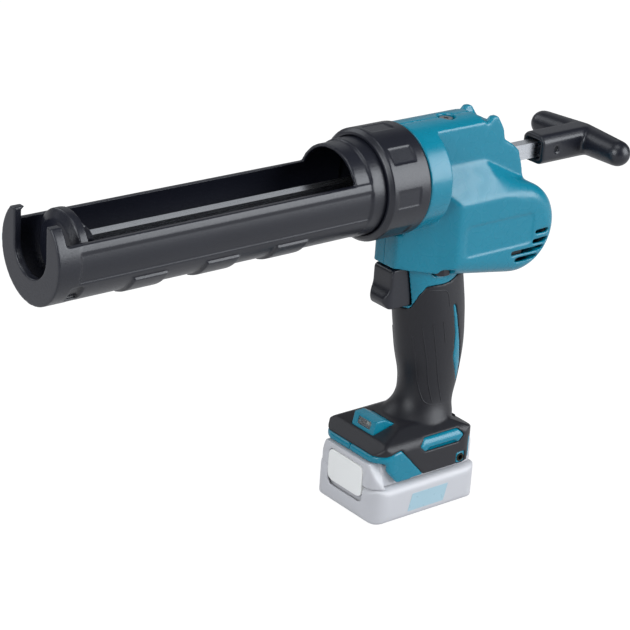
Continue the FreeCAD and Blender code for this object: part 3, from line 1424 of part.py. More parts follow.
def fastener(seat, outward, radius, length, head_radius, head):
    """Cap screw with a cross recess; its head stands on the seat."""
    shank = Part.makeCylinder(radius, length, Vector(0, 0, -length))
    cap = Part.makeCylinder(head_radius, head)
    arm = head_radius / 2
    slot = radius / 4
    cross = [block((-arm, -slot, head / 2), (arm, slot, head + size.overrun)),
             block((-slot, -arm, head / 2), (slot, arm, head + size.overrun))]
    screw = cap.cut(cross).fuse(shank).removeSplitter()
    return screw.transformed(Placement(seat, Rotation(Vector(0, 0, 1), outward)).toMatrix(), True)


def build_fasteners():
    screws = [fastener(Vector(x, size.screw_seat, z), Vector(0, 1, 0), size.screw_radius, size.screw_length,
                       size.screw_head_radius, size.screw_head) for x, z in screw_places()]
    free_form("housing_screws", Part.Compound(screws))
    seat = Vector(size.hood_screw_x, 0, size.tunnel_top_z - size.hood_screw_recess)
    free_form("hood_screw", fastener(seat, Vector(0, 0, 1), size.screw_m4_radius, size.hood_screw_length,
                                     size.screw_m4_head_radius, size.screw_m4_head))
    sleeves = []
    for name, start in (("left", "-foot_half"), ("right", "foot_half - insert_length")):
        at = ("hook_pad_x", start, "hook_pad_z")
        sleeve = cylinder(f"{name}_sleeve", "insert_radius", "insert_length", at, "Y")
        bore = cylinder(f"{name}_thread", "insert_bore", "insert_length", at, "Y")
        sleeves.append(cut(f"{name}_insert", sleeve, bore))
    keep("hook_inserts", group("hook_insert_pair", *sleeves))


# Lamp on the foot's front slope

def build_lamp():
    half = size.lamp_width / 2
    hollow_half = half - size.lamp_wall
    whole = prism(lamp_outline(0), 0, side(-half), Vector(0, 2 * half, 0))
    hollow = prism(lamp_outline(size.lamp_wall), 0, side(-hollow_half), Vector(0, 2 * hollow_half, 0))
    skin = prism(lamp_outline(size.lamp_wall / 4), 0, side(-hollow_half), Vector(0, 2 * hollow_half, 0))
    window_half = size.lamp_window_width / 2
    start = size.lamp_x - size.lamp_length / 2
    window = block((start - size.overrun, -window_half, size.foot_top_z - size.lamp_rise / 2),
                   (size.lamp_x - size.lamp_length / 4, window_half,
                    size.foot_top_z + size.lamp_rise / 2 - size.lamp_wall))
    free_form("lamp_bezel", whole.cut([hollow, window]).removeSplitter())
    free_form("lamp_lens", skin.common(window).cut(hollow))
    low = "foot_top_z - lamp_rise + lamp_wall"
    card = box("lamp_card", ("lamp_board_thickness", "lamp_width - 2 * lamp_wall", "lamp_rise - lamp_wall"),
               ("lamp_x", "lamp_wall - lamp_width / 2", low))
    bulb = cylinder("lamp_diode", "lamp_wall", "lamp_wall",
                    ("lamp_x - lamp_wall", "0", f"{low} + lamp_rise / 2"), "X")
    keep("lamp_board", join("lamp_card_and_diode", card, bulb))


# Trigger, switch and lock-off button

def coil(label, radius, wire, height, turns, at, axis):
    """Open coil spring that runs from a point along an axis; sizes are formulas."""
    path = doc.addObject("Part::Helix", f"{label}_path")
    path.setExpression("Radius", bound(radius))
    path.setExpression("Height", bound(f"{height} - 2 * {wire}"))
    path.setExpression("Pitch", bound(f"({height} - 2 * {wire}) / {turns}"))
    ring = doc.addObject("Part::Circle", f"{label}_section")
    ring.setExpression("Radius", bound(wire))
    ring.setExpression("Placement.Base.x", bound(radius))
    ring.Placement = Placement(Vector(value(radius), 0, 0), Rotation(Vector(1, 0, 0), 90))
    sweep = doc.addObject("Part::Sweep", f"{label}_coil")
    sweep.Sections = [ring]
    sweep.Spine = (path, ["Edge1"])
    sweep.Solid = True
    sweep.Frenet = True
    shift = {"X": (f"{at[0]} + {wire}", at[1], at[2]), "Z": (at[0], at[1], f"{at[2]} + {wire}")}
    return keep(label, place(sweep, shift[axis], axis))


def build_trigger():
    half = size.trigger_half
    edge = size.trigger_edge
    profile = prism(trigger_outline(0), [edge, half, 2 * edge, edge, 0, 0], side(-half),
                    Vector(0, 2 * half, 0))
    front_x = size.trigger_front_x
    rear_x = size.trigger_rear_x
    view = prism([(front_x, -half), (rear_x, -half), (rear_x, half), (front_x, half)],
                 [TRIGGER_ROUND_SHARE * half, 0, 0, TRIGGER_ROUND_SHARE * half], plan(size.trigger_low_z),
                 Vector(0, 0, size.trigger_top_z - size.trigger_low_z))
    height = size.switch_low_z + size.switch_height / 2
    floor_x = size.trigger_rear_x - size.trigger_travel
    pocket = bar(size.spring_radius + 2 * size.spring_wire, Vector(floor_x, 0, height),
                 Vector(rear_x + size.overrun, 0, height))
    free_form("trigger", profile.common(view).cut(pocket).removeSplitter())
    middle = "switch_low_z + switch_height / 2"
    start = "trigger_rear_x - trigger_travel"
    reach = f"switch_front_x + switch_length / 3 - ({start})"
    keep("switch_plunger", cylinder("plunger_pin", "plunger_radius", reach, (start, "0", middle), "X"))
    case = box("switch_block", ("switch_length", "2 * switch_half", "switch_height"),
               ("switch_front_x", "-switch_half", "switch_low_z"))
    bore = cylinder("switch_bore", "plunger_radius + slide_gap",
                    "switch_length / 3 + trigger_travel + slide_gap", ("switch_front_x", "0", middle), "X")
    keep("switch_case", cut("switch_body", case, bore))
    coil("trigger_spring", "spring_radius", "spring_wire", f"(switch_front_x - ({start}))", "spring_turns",
         (start, "0", middle), "X")
    reach_y = size.lock_half
    shape = prism(lock_outline(0), 0, side(-reach_y), Vector(0, 2 * reach_y, 0))
    front_x = size.lock_x - size.lock_length / 2
    rear_x = size.lock_x + size.lock_length / 2
    tip = reach_y - size.lock_tip
    ends = prism([(front_x, -tip), (size.lock_x, -reach_y), (rear_x, -reach_y), (rear_x, reach_y),
                  (size.lock_x, reach_y), (front_x, tip)], 0, plan(size.lock_z - size.lock_height),
                 Vector(0, 0, 2 * size.lock_height))
    free_form("lock_off_button", shape.common(ends).removeSplitter())


# Electrics in the handle and foot

def build_electrics():
    card = box("speed_card", ("board_thickness", "2 * board_half", "board_length"),
               ("board_x", "-board_half", "board_low_z"))
    chips = [box(f"speed_chip_{index}", ("2 * board_thickness", "board_half / 2", "board_length / 6"),
                 ("board_x + board_thickness", "-board_half / 2",
                  f"board_low_z + {index} * board_length / 3"))
             for index in (1, 2)]
    keep("speed_board", join("speed_card_and_chips", card, *chips))
    low = "foot_floor_z + bay_height / 4"
    holder = box("terminal_holder", ("block_length", "2 * bay_half", "block_height"),
                 ("block_x", "-bay_half", low))
    blades = []
    slots = []
    for index, sign in enumerate(("-", "")):
        start = ("block_x + (block_length - contact_length) / 2", f"{sign}contact_pitch - contact_width / 2",
                 "battery_top_z - contact_height")
        extents = ("contact_length", "contact_width", f"{low} + block_height / 2 - ({start[2]})")
        blades.append(box(f"terminal_blade_{index}", extents, start))
        slots.append(box(f"terminal_slot_{index}", extents, start))
    keep("terminal_block", cut("terminal_body", holder, *slots))
    keep("terminal_blades", group("terminal_blade_pair", *blades))


def lead(points):
    """Insulated wire of straight runs with rounded elbows."""
    runs = [bar(size.lead_radius, near, far) for near, far in zip(points, points[1:])]
    elbows = [Part.makeSphere(size.lead_radius, point) for point in points[1:-1]]
    return runs[0].fuse(runs[1:] + elbows).removeSplitter() if elbows else runs[0]


def build_leads():
    block_top = size.foot_floor_z + size.bay_height / 4 + size.block_height
    cap_y = size.left_plate_y + size.plate_thickness + size.motor_length + size.end_cap_length / 2
    top = size.switch_low_z + size.switch_height
    middle_x = size.switch_front_x + size.switch_length * LEAD_EXIT_SHARE
    turn_z = size.motor_z - size.motor_radius / 2
    leads = []
    for offset in (-size.lead_pitch / 2, size.lead_pitch / 2):
        start = Vector(size.lead_x, offset, block_top)
        leads.append(lead([start, Vector(size.lead_x, offset, size.switch_low_z)]))
        exit_x = middle_x + offset
        level = turn_z + offset
        below = size.motor_z - level - size.lead_radius
        end_x = size.motor_x - math.sqrt(size.motor_radius ** 2 - below ** 2) - size.run_gap
        leads.append(lead([Vector(exit_x, size.lead_pitch, top), Vector(exit_x, size.lead_pitch, level),
                           Vector(exit_x, cap_y, level), Vector(end_x, cap_y, level)]))
    free_form("power_leads", Part.Compound(leads))


# Battery: it slides forward off the foot's rails

def battery_form(inset):
    """Lower case of the battery with rounded edges, drawn in by an inset."""
    half = size.battery_half - inset
    along = size.battery_length / 2 - inset
    top = size.battery_belt_z - inset
    edges = [size.battery_edge, size.battery_edge, size.battery_shoulder, size.battery_shoulder]
    view = prism([(-along, -half), (along, -half), (along, half), (-along, half)],
                 size.battery_corner - inset, plan(inset), Vector(0, 0, top - inset))
    face = prism([(-half, inset), (half, inset), (half, top), (-half, top)], edges, front(-along),
                 Vector(2 * along, 0, 0))
    profile = prism([(-along, inset), (along, inset), (along, top), (-along, top)], edges, side(-half),
                    Vector(0, 2 * half, 0))
    return view.common(face).common(profile)


def neck_form(inset, top):
    """Battery neck between the skirts, with wide sloping shoulders in front of them."""
    low = size.battery_belt_z
    front_x = inset - size.battery_length / 2
    rear_x = size.neck_rear_x - inset
    half = size.battery_neck_half - inset
    neck = prism([(front_x, -half), (rear_x, -half), (rear_x, half), (front_x, half)],
                 size.battery_corner / 2, plan(low), Vector(0, 0, top - low))
    wide = size.shoulder_half - inset
    narrow = size.shoulder_top_half - inset
    shoulders = prism([(-wide, low), (wide, low), (narrow, size.battery_top_z),
                       (-narrow, size.battery_top_z)], 0, front(front_x),
                      Vector(size.shoulder_rear_x - inset - front_x, 0, 0))
    bounds = prism([(front_x, -wide), (rear_x, -wide), (rear_x, wide), (front_x, wide)],
                   [size.battery_corner, 0, 0, size.battery_corner], plan(low), Vector(0, 0, top - low))
    slope = prism([(-half, low), (half, low), (half, top - size.battery_edge),
                   (half - size.battery_edge, top), (size.battery_edge - half, top),
                   (-half, top - size.battery_edge)], 0, front(front_x), Vector(rear_x - front_x, 0, 0))
    ahead = block((front_x, -wide, low), (size.shoulder_rear_x - inset, wide, top))
    return neck.common(slope).cut(ahead).fuse(shoulders.common(bounds)).removeSplitter()


def button_outline(margin):
    """Front outline of the battery's release button."""
    half = size.button_half + margin
    low = size.button_low_z - margin
    high = size.button_high_z + margin
    return [(-half, low), (half, low), (half, high), (-half, high)]


def build_battery():
    front_x = -size.battery_length / 2
    wall = size.battery_wall
    depth = size.button_depth + size.slide_gap
    pocket = prism(button_outline(size.slide_gap), size.battery_edge, front(front_x - size.overrun),
                   Vector(depth + size.overrun, 0, 0))
    lower_pocket = pocket.copy()
    lower_pocket.translate(Vector(0, 0, -size.button_travel))
    pockets = [pocket, lower_pocket]
    mouth_half = size.battery_neck_half - 2 * wall
    mouth = block((size.shoulder_rear_x, -mouth_half, size.battery_belt_z - 2 * wall),
                  (size.neck_rear_x - 2 * wall, mouth_half, size.battery_belt_z + wall))
    free_form("battery_case", battery_form(0).cut([battery_form(wall), mouth] + pockets).removeSplitter())

    roof = size.battery_top_z - size.contact_height - 2 * size.slide_gap
    hollow = neck_form(wall, roof - wall)
    grooves = both_sides(block(
        (size.foot_front_x + (size.foot_rear_x - size.foot_front_x) / 3 - size.slide_gap, -size.battery_half,
         size.rail_z - size.rail_height / 2 - size.slide_gap),
        (size.battery_length, size.skirt_thickness - size.foot_half + size.rail_depth + size.slide_gap,
         size.rail_z + size.rail_height / 2 + size.slide_gap)))
    slot_half = size.contact_width / 2 + size.slide_gap + size.clip_thickness
    slot_x = size.block_x + (size.block_length - size.contact_length) / 2 - 2 * size.slide_gap
    slots = both_sides(block((slot_x, -size.contact_pitch - slot_half, roof),
                             (size.battery_length, slot_half - size.contact_pitch,
                              size.battery_top_z + size.overrun)))
    lug_half = size.button_lug_half + size.slide_gap
    lug_room = block((front_x, -lug_half, size.button_lug_z - size.button_travel - size.slide_gap),
                     (front_x + size.button_depth + 2 * lug_half, lug_half,
                      size.button_lug_z + wall + 2 * size.slide_gap))
    cover = neck_form(0, size.battery_top_z).cut([hollow, lug_room] + grooves + slots + pockets)
    free_form("battery_cover", cover.removeSplitter())

    cells = [cylinder(f"cell_{index}", "cell_radius", "cell_length",
                      ("-cell_length / 2", f"({index} - 1) * cell_pitch", "battery_wall + cell_radius"), "X")
             for index in range(3)]
    keep("battery_cells", group("cell_row", *cells))
    clips = []
    for index, sign in enumerate(("-", "")):
        for edge, start in enumerate(("contact_width / 2 + slide_gap",
                                      "-contact_width / 2 - slide_gap - clip_thickness")):
            clips.append(box(f"clip_{index}_{edge}", ("contact_length", "clip_thickness", "contact_height"),
                             ("block_x + (block_length - contact_length) / 2",
                              f"{sign}contact_pitch + {start}",
                              "battery_top_z - contact_height - 2 * slide_gap")))
    keep("battery_contacts", group("clip_set", *clips))

    plate = prism(button_outline(0), size.battery_edge, front(front_x), Vector(size.button_depth, 0, 0))
    lug = block((front_x + size.button_depth, -size.button_lug_half, size.button_lug_z),
                (front_x + size.button_depth + 2 * size.button_lug_half, size.button_lug_half,
                 size.button_lug_z + wall))
    free_form("battery_button", plate.fuse(lug).removeSplitter())
    coil("button_spring", "button_spring_radius", "button_spring_wire", "(button_lug_z - battery_belt_z)",
         "spring_turns", ("button_depth + button_lug_half - battery_length / 2", "0", "battery_belt_z"), "Z")


# Every remaining builder is called from here, in the order of the assembly

build_holder()
build_lock_ring()
build_nose()
build_rod()
build_piston()
build_pull_handle()
build_gears()
build_clutch()
build_gear_frame()
build_motor()
build_housing()
build_fasteners()
build_lamp()
build_trigger()
build_electrics()
build_leads()
build_battery()
doc.recompute()


def write_parts():
    """Check every object and write each sub-part to its own file."""
    for item in doc.Objects:
        if "Invalid" in item.State or "Error" in item.State:
            raise RuntimeError(f"{item.Name} failed: {item.State}")
    for label, item in PARTS.items():
        if item.Shape.isNull() or not item.Shape.isValid() or not item.Shape.Solids:
            raise RuntimeError(f"{label} has no valid solid")
    os.makedirs("parts", exist_ok=True)
    for label, item in PARTS.items():
        item.Shape.exportStep(f"parts/{label}.step")
        print(label, len(item.Shape.Solids), round(item.Shape.Volume, 1))


write_parts()
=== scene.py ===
"""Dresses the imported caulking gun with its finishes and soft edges, in a plain pale studio."""
import json
import logging
import math
from dataclasses import dataclass
from enum import Enum
from typing import Any

import bmesh
import bpy
from mathutils import Matrix, Vector
from mathutils.bvhtree import BVHTree
from mathutils.kdtree import KDTree

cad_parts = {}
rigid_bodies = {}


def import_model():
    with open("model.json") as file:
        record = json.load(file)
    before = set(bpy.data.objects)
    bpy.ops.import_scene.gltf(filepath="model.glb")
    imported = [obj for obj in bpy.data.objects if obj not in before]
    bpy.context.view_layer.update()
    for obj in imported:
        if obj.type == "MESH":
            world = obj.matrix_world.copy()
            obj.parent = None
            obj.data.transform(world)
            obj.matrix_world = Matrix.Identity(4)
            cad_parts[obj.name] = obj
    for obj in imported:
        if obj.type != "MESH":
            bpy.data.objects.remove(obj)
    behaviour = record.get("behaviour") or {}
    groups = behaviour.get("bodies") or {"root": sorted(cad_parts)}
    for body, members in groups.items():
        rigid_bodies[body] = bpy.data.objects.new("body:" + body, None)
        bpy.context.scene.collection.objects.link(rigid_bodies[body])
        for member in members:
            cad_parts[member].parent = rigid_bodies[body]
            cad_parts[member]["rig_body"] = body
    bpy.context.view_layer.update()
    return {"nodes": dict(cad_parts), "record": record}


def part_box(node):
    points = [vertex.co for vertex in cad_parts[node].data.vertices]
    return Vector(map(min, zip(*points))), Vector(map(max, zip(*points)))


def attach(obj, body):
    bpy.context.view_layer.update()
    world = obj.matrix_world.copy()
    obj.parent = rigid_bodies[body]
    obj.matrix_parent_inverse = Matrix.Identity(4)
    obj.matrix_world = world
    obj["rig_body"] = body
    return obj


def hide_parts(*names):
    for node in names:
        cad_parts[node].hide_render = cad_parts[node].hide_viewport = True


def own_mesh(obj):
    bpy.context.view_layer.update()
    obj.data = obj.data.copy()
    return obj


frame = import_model()
LOG = logging.getLogger("caulking_gun")

MM = 0.001
ALONG_X = (1, 0, 0)
ALONG_Z = (0, 0, 1)
# Points closer than this are one point
MERGE_MM = 0.002
# Rays towards the sides of the tool start this far from its middle plane
RAY_START_MM = 100.0
# Share of the way to the middle of its neighbours that a point moves in a smoothing pass
SMOOTH_FACTOR = 0.5
# Edges that bend by more stay sharp, on mouldings and on small thin pieces
MOULD_SHARP_DEG = 60.0
THIN_SHARP_DEG = 40.0
BYTE_MAX = 255
# The sRGB curve is straight up to its knee and a power above it
SRGB_KNEE = 0.04045
SRGB_SLOPE = 12.92
SRGB_OFFSET = 0.055
SRGB_POWER = 2.4
# Places of the colour sockets on a Mix node
MIX_FIRST = 6
MIX_SECOND = 7
MIX_RESULT = 2


def linear(hex_colour: str) -> tuple[float, float, float, float]:
    """Turn an sRGB hex colour into linear light.

    Args:
        hex_colour: colour such as "#0f8299".

    Returns:
        Red, green, blue and alpha.
    """
    shares = [int(hex_colour[start:start + 2], 16) / BYTE_MAX for start in (1, 3, 5)]
    red, green, blue = (
        share / SRGB_SLOPE if share <= SRGB_KNEE
        else ((share + SRGB_OFFSET) / (1 + SRGB_OFFSET)) ** SRGB_POWER
        for share in shares)
    return red, green, blue, 1.0


def add_node(tree: bpy.types.NodeTree, kind: str, settings: dict[str, Any] | None = None,
             inputs: dict[str | int, Any] | None = None) -> bpy.types.Node:
    """Add a node with its settings and links.

    Args:
        tree: node tree that the node joins.
        kind: Blender's type name of the node.
        settings: properties to set.
        inputs: value or output socket for each input socket, by name or place.

    Returns:
        The new node.
    """
    node = tree.nodes.new(kind)
    for name, setting in (settings or {}).items():
        setattr(node, name, setting)
    for name, given in (inputs or {}).items():
        if isinstance(given, bpy.types.NodeSocket):
            tree.links.new(given, node.inputs[name])
        else:
            node.inputs[name].default_value = given
    return node


def bare_tree(owner: bpy.types.Material | bpy.types.World) -> bpy.types.NodeTree:
    """Switch on the nodes of a material or world, and clear them.

    Args:
        owner: the material or world.

    Returns:
        Its empty node tree.
    """
    owner.use_nodes = True
    owner.node_tree.nodes.clear()
    return owner.node_tree


class Side(Enum):
    """Side of the tool, with the sign of Y there."""

    LEFT = -1
    RIGHT = 1

    @property
    def word(self) -> str:
        """Give the side as the names of nodes and pieces have it."""
        return self.name.lower()

    @property
    def other(self) -> "Side":
        """Give the opposite side."""
        return Side(-self.value)


class Surface(Enum):
    """How a surface was made, which decides the pattern of its relief."""

    ERODED = "pits of a spark-eroded mould"
    POLISHED = "slow waves of a polished mould"
    DRAWN = "lines along X from a drawing die"
    MACHINED = "fine scratches every way"


# Octaves of finer detail in the noise of each relief and of the slow drift in colour
RELIEF_DETAIL = {Surface.ERODED: 2.0, Surface.POLISHED: 0.0, Surface.DRAWN: 3.0, Surface.MACHINED: 4.0}
DRIFT_DETAIL = 3.0
# How strongly each finer octave of a relief counts
RELIEF_ROUGHNESS = 0.6
# How often a pattern repeats along X, Y and Z, as a share of its scale: die lines are drawn out along X
EVEN_SCALE = (1.0, 1.0, 1.0)
DRAWN_SCALE = (0.04, 1.0, 1.0)


@dataclass(frozen=True)
class Finish:
    """One real material with the way its surface was made."""

    name: str
    colour: str
    drift: str
    roughness: float
    surface: Surface
    pattern_mm: float
    relief_mm: float
    metallic: float = 0.0
    ior: float = 1.5
    wear: str = ""
    sheen: float = 0.0
    clear: float = 0.0
    drift_mm: float = 45.0
    roughness_spread: float = 0.08
    # Heights of the relief between which the roughness rises
    height_span: tuple[float, float] = (0.3, 0.7)
    # Pointiness where an edge starts to wear and where it is fully worn, and the wear colour's share there
    wear_span: tuple[float, float] = (0.56, 0.68)
    wear_share: float = 0.4

    def pattern(self, tree: bpy.types.NodeTree) -> bpy.types.NodeSocket:
        """Build the fine relief.

        Args:
            tree: node tree of the material.

        Returns:
            Height socket from 0 to 1.
        """
        place = add_node(tree, "ShaderNodeTexCoord").outputs["Object"]
        scale = DRAWN_SCALE if self.surface is Surface.DRAWN else EVEN_SCALE
        mapped = add_node(tree, "ShaderNodeMapping", inputs={"Vector": place, "Scale": scale})
        noise = add_node(tree, "ShaderNodeTexNoise", inputs={
            "Vector": mapped.outputs["Vector"],
            "Scale": 1.0 / (self.pattern_mm * MM),
            "Detail": RELIEF_DETAIL[self.surface],
            "Roughness": RELIEF_ROUGHNESS})
        return noise.outputs["Fac"]

    def tint(self, tree: bpy.types.NodeTree) -> bpy.types.NodeSocket:
        """Build the slow drift in colour, and paler edges where the finish wears.

        Args:
            tree: node tree of the material.

        Returns:
            Colour socket.
        """
        place = add_node(tree, "ShaderNodeTexCoord").outputs["Object"]
        cloud = add_node(tree, "ShaderNodeTexNoise", inputs={
            "Vector": place, "Scale": 1.0 / (self.drift_mm * MM), "Detail": DRIFT_DETAIL})
        mix = add_node(tree, "ShaderNodeMix", {"data_type": "RGBA"}, {
            "Factor": cloud.outputs["Fac"], MIX_FIRST: linear(self.colour), MIX_SECOND: linear(self.drift)})
        if not self.wear:
            return mix.outputs[MIX_RESULT]
        edge = add_node(tree, "ShaderNodeNewGeometry").outputs["Pointiness"]
        share = add_node(tree, "ShaderNodeMapRange", inputs={
            "Value": edge,
            "From Min": self.wear_span[0],
            "From Max": self.wear_span[1],
            "To Min": 0.0,
            "To Max": self.wear_share})
        worn = add_node(tree, "ShaderNodeMix", {"data_type": "RGBA"}, {
            "Factor": share.outputs["Result"],
            MIX_FIRST: mix.outputs[MIX_RESULT],
            MIX_SECOND: linear(self.wear)})
        return worn.outputs[MIX_RESULT]

    def material(self) -> bpy.types.Material:
        """Give the finish as a material, made at its first use.

        Returns:
            The material.
        """
        made = bpy.data.materials.get(self.name)
        if made:
            return made
        made = bpy.data.materials.new(self.name)
        tree = bare_tree(made)
        height = self.pattern(tree)
        rough = add_node(tree, "ShaderNodeMapRange", inputs={
            "Value": height,
            "From Min": self.height_span[0],
            "From Max": self.height_span[1],
            "To Min": self.roughness - self.roughness_spread,
            "To Max": self.roughness + self.roughness_spread})
        bump = add_node(tree, "ShaderNodeBump", inputs={
            "Height": height, "Distance": self.relief_mm * MM, "Strength": 1.0})
        shader = add_node(tree, "ShaderNodeBsdfPrincipled", inputs={
            "Base Color": self.tint(tree),
            "Roughness": rough.outputs["Result"],
            "Normal": bump.outputs["Normal"],
            "Metallic": self.metallic,
            "IOR": self.ior,
            "Sheen Weight": self.sheen,
            "Transmission Weight": self.clear})
        add_node(tree, "ShaderNodeOutputMaterial", inputs={"Surface": shader.outputs["BSDF"]})
        return made


# Eroded pits, die lines, pores and scratches are 0.02 to 0.2 mm wide on the real surfaces.
# They are drawn 0.3 to 0.8 mm wide so that they show.

# Glass-filled nylon from a spark-eroded mould: near black, a soft broad sheen, paler rubbed edges.
NYLON = Finish(
    "glass_filled_nylon_eroded_mould", "#14161f", "#1a1c26", roughness=0.34, surface=Surface.ERODED,
    pattern_mm=0.45, relief_mm=0.012, ior=1.55, wear="#4a4b54")
# ABS from a polished mould: clean saturated teal with a clear but broken reflection.
TEAL_ABS = Finish(
    "abs_teal_polished_mould", "#007a93", "#00829b", roughness=0.27, surface=Surface.POLISHED,
    pattern_mm=7.0, relief_mm=0.008, ior=1.52, roughness_spread=0.03)
# Thermoplastic elastomer moulded over the shell: dark, dry and matt, with a little dust sheen.
ELASTOMER = Finish(
    "elastomer_overmoulded_matt", "#131319", "#191920", roughness=0.44, surface=Surface.ERODED,
    pattern_mm=0.5, relief_mm=0.03, ior=1.48, wear="#434247", sheen=0.03)
# Steel bar drawn through a die and zinc plated: bright, with lines along its length.
DRAWN_STEEL = Finish(
    "steel_drawn_zinc_plated", "#d6d9dd", "#cacdd2", roughness=0.28, surface=Surface.DRAWN,
    pattern_mm=0.4, relief_mm=0.0015, metallic=1.0, roughness_spread=0.03)
# Hobbed and hardened gear steel: grey with fine scratches.
GEAR_STEEL = Finish(
    "steel_hobbed_hardened", "#8f9194", "#7f8184", roughness=0.34, surface=Surface.MACHINED,
    pattern_mm=0.5, relief_mm=0.006, metallic=1.0)
# Screws of blackened steel: dark with oily patches.
BLACK_STEEL = Finish(
    "steel_blackened", "#3a3b3e", "#2b2c2f", roughness=0.38, surface=Surface.MACHINED,
    pattern_mm=0.6, relief_mm=0.008, metallic=1.0)
# Hard-drawn spring wire: mid grey, smooth.
SPRING_STEEL = Finish(
    "steel_spring_wire", "#9b9c9c", "#8d8e8f", roughness=0.3, surface=Surface.MACHINED,
    pattern_mm=0.3, relief_mm=0.004, metallic=1.0)
# Deep-drawn steel sheet, phosphated: dull with a faint grain, its grey set darker as painted shade so that
# the motor seen through the vents stays dark.
SHEET_STEEL = Finish(
    "steel_deep_drawn_phosphated", "#4d4f51", "#434547", roughness=0.46, surface=Surface.MACHINED,
    pattern_mm=0.8, relief_mm=0.008, metallic=1.0)
# Sintered bronze: brown with open pores.
BRONZE = Finish(
    "bronze_sintered", "#a8783f", "#8f6330", roughness=0.5, surface=Surface.ERODED,
    pattern_mm=0.4, relief_mm=0.02, metallic=1.0)
# Turned and blackened brass: dark brown with fine scratches.
BRASS = Finish(
    "brass_turned_blackened", "#4a4136", "#3c352c", roughness=0.36, surface=Surface.MACHINED,
    pattern_mm=0.4, relief_mm=0.006, metallic=1.0)
# Stamped copper alloy: red brown, a little tarnished.
COPPER = Finish(
    "copper_stamped", "#c07a52", "#a8653f", roughness=0.35, surface=Surface.MACHINED,
    pattern_mm=0.5, relief_mm=0.006, metallic=1.0)
# Sintered ferrite: charcoal grey ceramic.
FERRITE = Finish(
    "ferrite_sintered", "#3b3b3d", "#333336", roughness=0.6, surface=Surface.ERODED,
    pattern_mm=0.5, relief_mm=0.02, ior=2.0)
# Natural nylon of the rod's guides: off-white, waxy.
WHITE_NYLON = Finish(
    "nylon_natural_moulded", "#d8d5cb", "#cfccc1", roughness=0.45, surface=Surface.POLISHED,
    pattern_mm=4.0, relief_mm=0.02, ior=1.53)
# Nylon of the electrical mouldings: plain black.
SWITCH_NYLON = Finish(
    "nylon_black_moulded", "#1d1d1f", "#232325", roughness=0.5, surface=Surface.ERODED,
    pattern_mm=0.5, relief_mm=0.02, ior=1.53)
# Solder-masked laminate: deep green with the weave showing faintly.
LAMINATE = Finish(
    "laminate_solder_mask", "#0f5a34", "#0c4c2c", roughness=0.35, surface=Surface.POLISHED,
    pattern_mm=1.2, relief_mm=0.02, ior=1.55)
# Black-masked laminate round the lamp's diode: dark and even.
BLACK_LAMINATE = Finish(
    "laminate_black_mask", "#191b1e", "#1e2023", roughness=0.4, surface=Surface.POLISHED,
    pattern_mm=1.2, relief_mm=0.005, ior=1.55)
# Silicone cast over the diode, pale yellow from the phosphor in it, and near white so that it shows as a
# painted glint in the lens.
DIODE_DOME = Finish(
    "silicone_cast_phosphor", "#fbf8e8", "#f6f1da", roughness=0.22, surface=Surface.POLISHED,
    pattern_mm=2.0, relief_mm=0.002, ior=1.41)
# Steel headed cold and zinc plated: pale grey, a little dull.
ZINC_STEEL = Finish(
    "steel_cold_headed_zinc_plated", "#a9adb1", "#989ca1", roughness=0.36, surface=Surface.MACHINED,
    pattern_mm=0.5, relief_mm=0.006, metallic=1.0)
# Lightly smoked polycarbonate of the lamp's lens, polished: the near-white diode dome shows through it as a
# painted glint.
SMOKED_LENS = Finish(
    "polycarbonate_smoked", "#c3cacd", "#bcc4c8", roughness=0.05, surface=Surface.POLISHED,
    pattern_mm=6.0, relief_mm=0.002, ior=1.58, clear=0.95, roughness_spread=0.01)
# Polycarbonate blend of the battery: pale grey, satin.
GREY_BLEND = Finish(
    "polycarbonate_blend_grey", "#c8c8cb", "#cdcdd0", roughness=0.42, surface=Surface.ERODED,
    pattern_mm=0.5, relief_mm=0.012, ior=1.56, wear="#dcdcde")
# Acetal of the release button: white, waxy.
WHITE_ACETAL = Finish(
    "acetal_white_moulded", "#fafaf7", "#f6f6f2", roughness=0.38, surface=Surface.POLISHED,
    pattern_mm=5.0, relief_mm=0.015, ior=1.48)
# Plain polyester film on the battery: pale blue and satin.
PALE_FILM = Finish(
    "polyester_film_pale_blue", "#a3c4d0", "#accad5", roughness=0.35, surface=Surface.POLISHED,
    pattern_mm=5.0, relief_mm=0.01, ior=1.57)
# Shrink sleeve over the cells: green and glossy.
SLEEVE = Finish(
    "pvc_shrink_sleeve", "#2f7d5b", "#2a7253", roughness=0.25, surface=Surface.POLISHED,
    pattern_mm=8.0, relief_mm=0.04, ior=1.53)
# Silicone insulation of the leads: red and soft.
SILICONE = Finish(
    "silicone_extruded_red", "#a51f1f", "#981b1b", roughness=0.5, surface=Surface.POLISHED,
    pattern_mm=3.0, relief_mm=0.02, ior=1.43)

# Finish of each material slot in the record
SLOT_FINISHES = {
    "glass_filled_black": NYLON,
    "teal_shell": TEAL_ABS,
    "grip_elastomer": ELASTOMER,
    "plated_steel": DRAWN_STEEL,
    "gear_steel": GEAR_STEEL,
    "dark_screw_steel": BLACK_STEEL,
    "spring_steel": SPRING_STEEL,
    "bush_bronze": BRONZE,
    "insert_brass": BRASS,
    "contact_copper": COPPER,
    "magnet_ferrite": FERRITE,
    "motor_steel": SHEET_STEEL,
    "guide_nylon": WHITE_NYLON,
    "switch_black": SWITCH_NYLON,
    "board_green": LAMINATE,
    "lens_clear": SMOKED_LENS,
    "battery_grey": GREY_BLEND,
    "button_white": WHITE_ACETAL,
    "cell_sleeve": SLEEVE,
    "lead_red": SILICONE,
}

# Nodes whose finish differs from that of their slot
NODE_FINISHES = {"lamp_board": BLACK_LAMINATE, "hood_screw": ZINC_STEEL}


def between(ends: tuple[float, float], share: float) -> float:
    """Give the value at a share of the way between two ends."""
    return ends[0] + share * (ends[1] - ends[0])


def points_of(made: list[Any]) -> list[bmesh.types.BMVert]:
    """Give the points among newly made mesh items."""
    return [item for item in made if isinstance(item, bmesh.types.BMVert)]


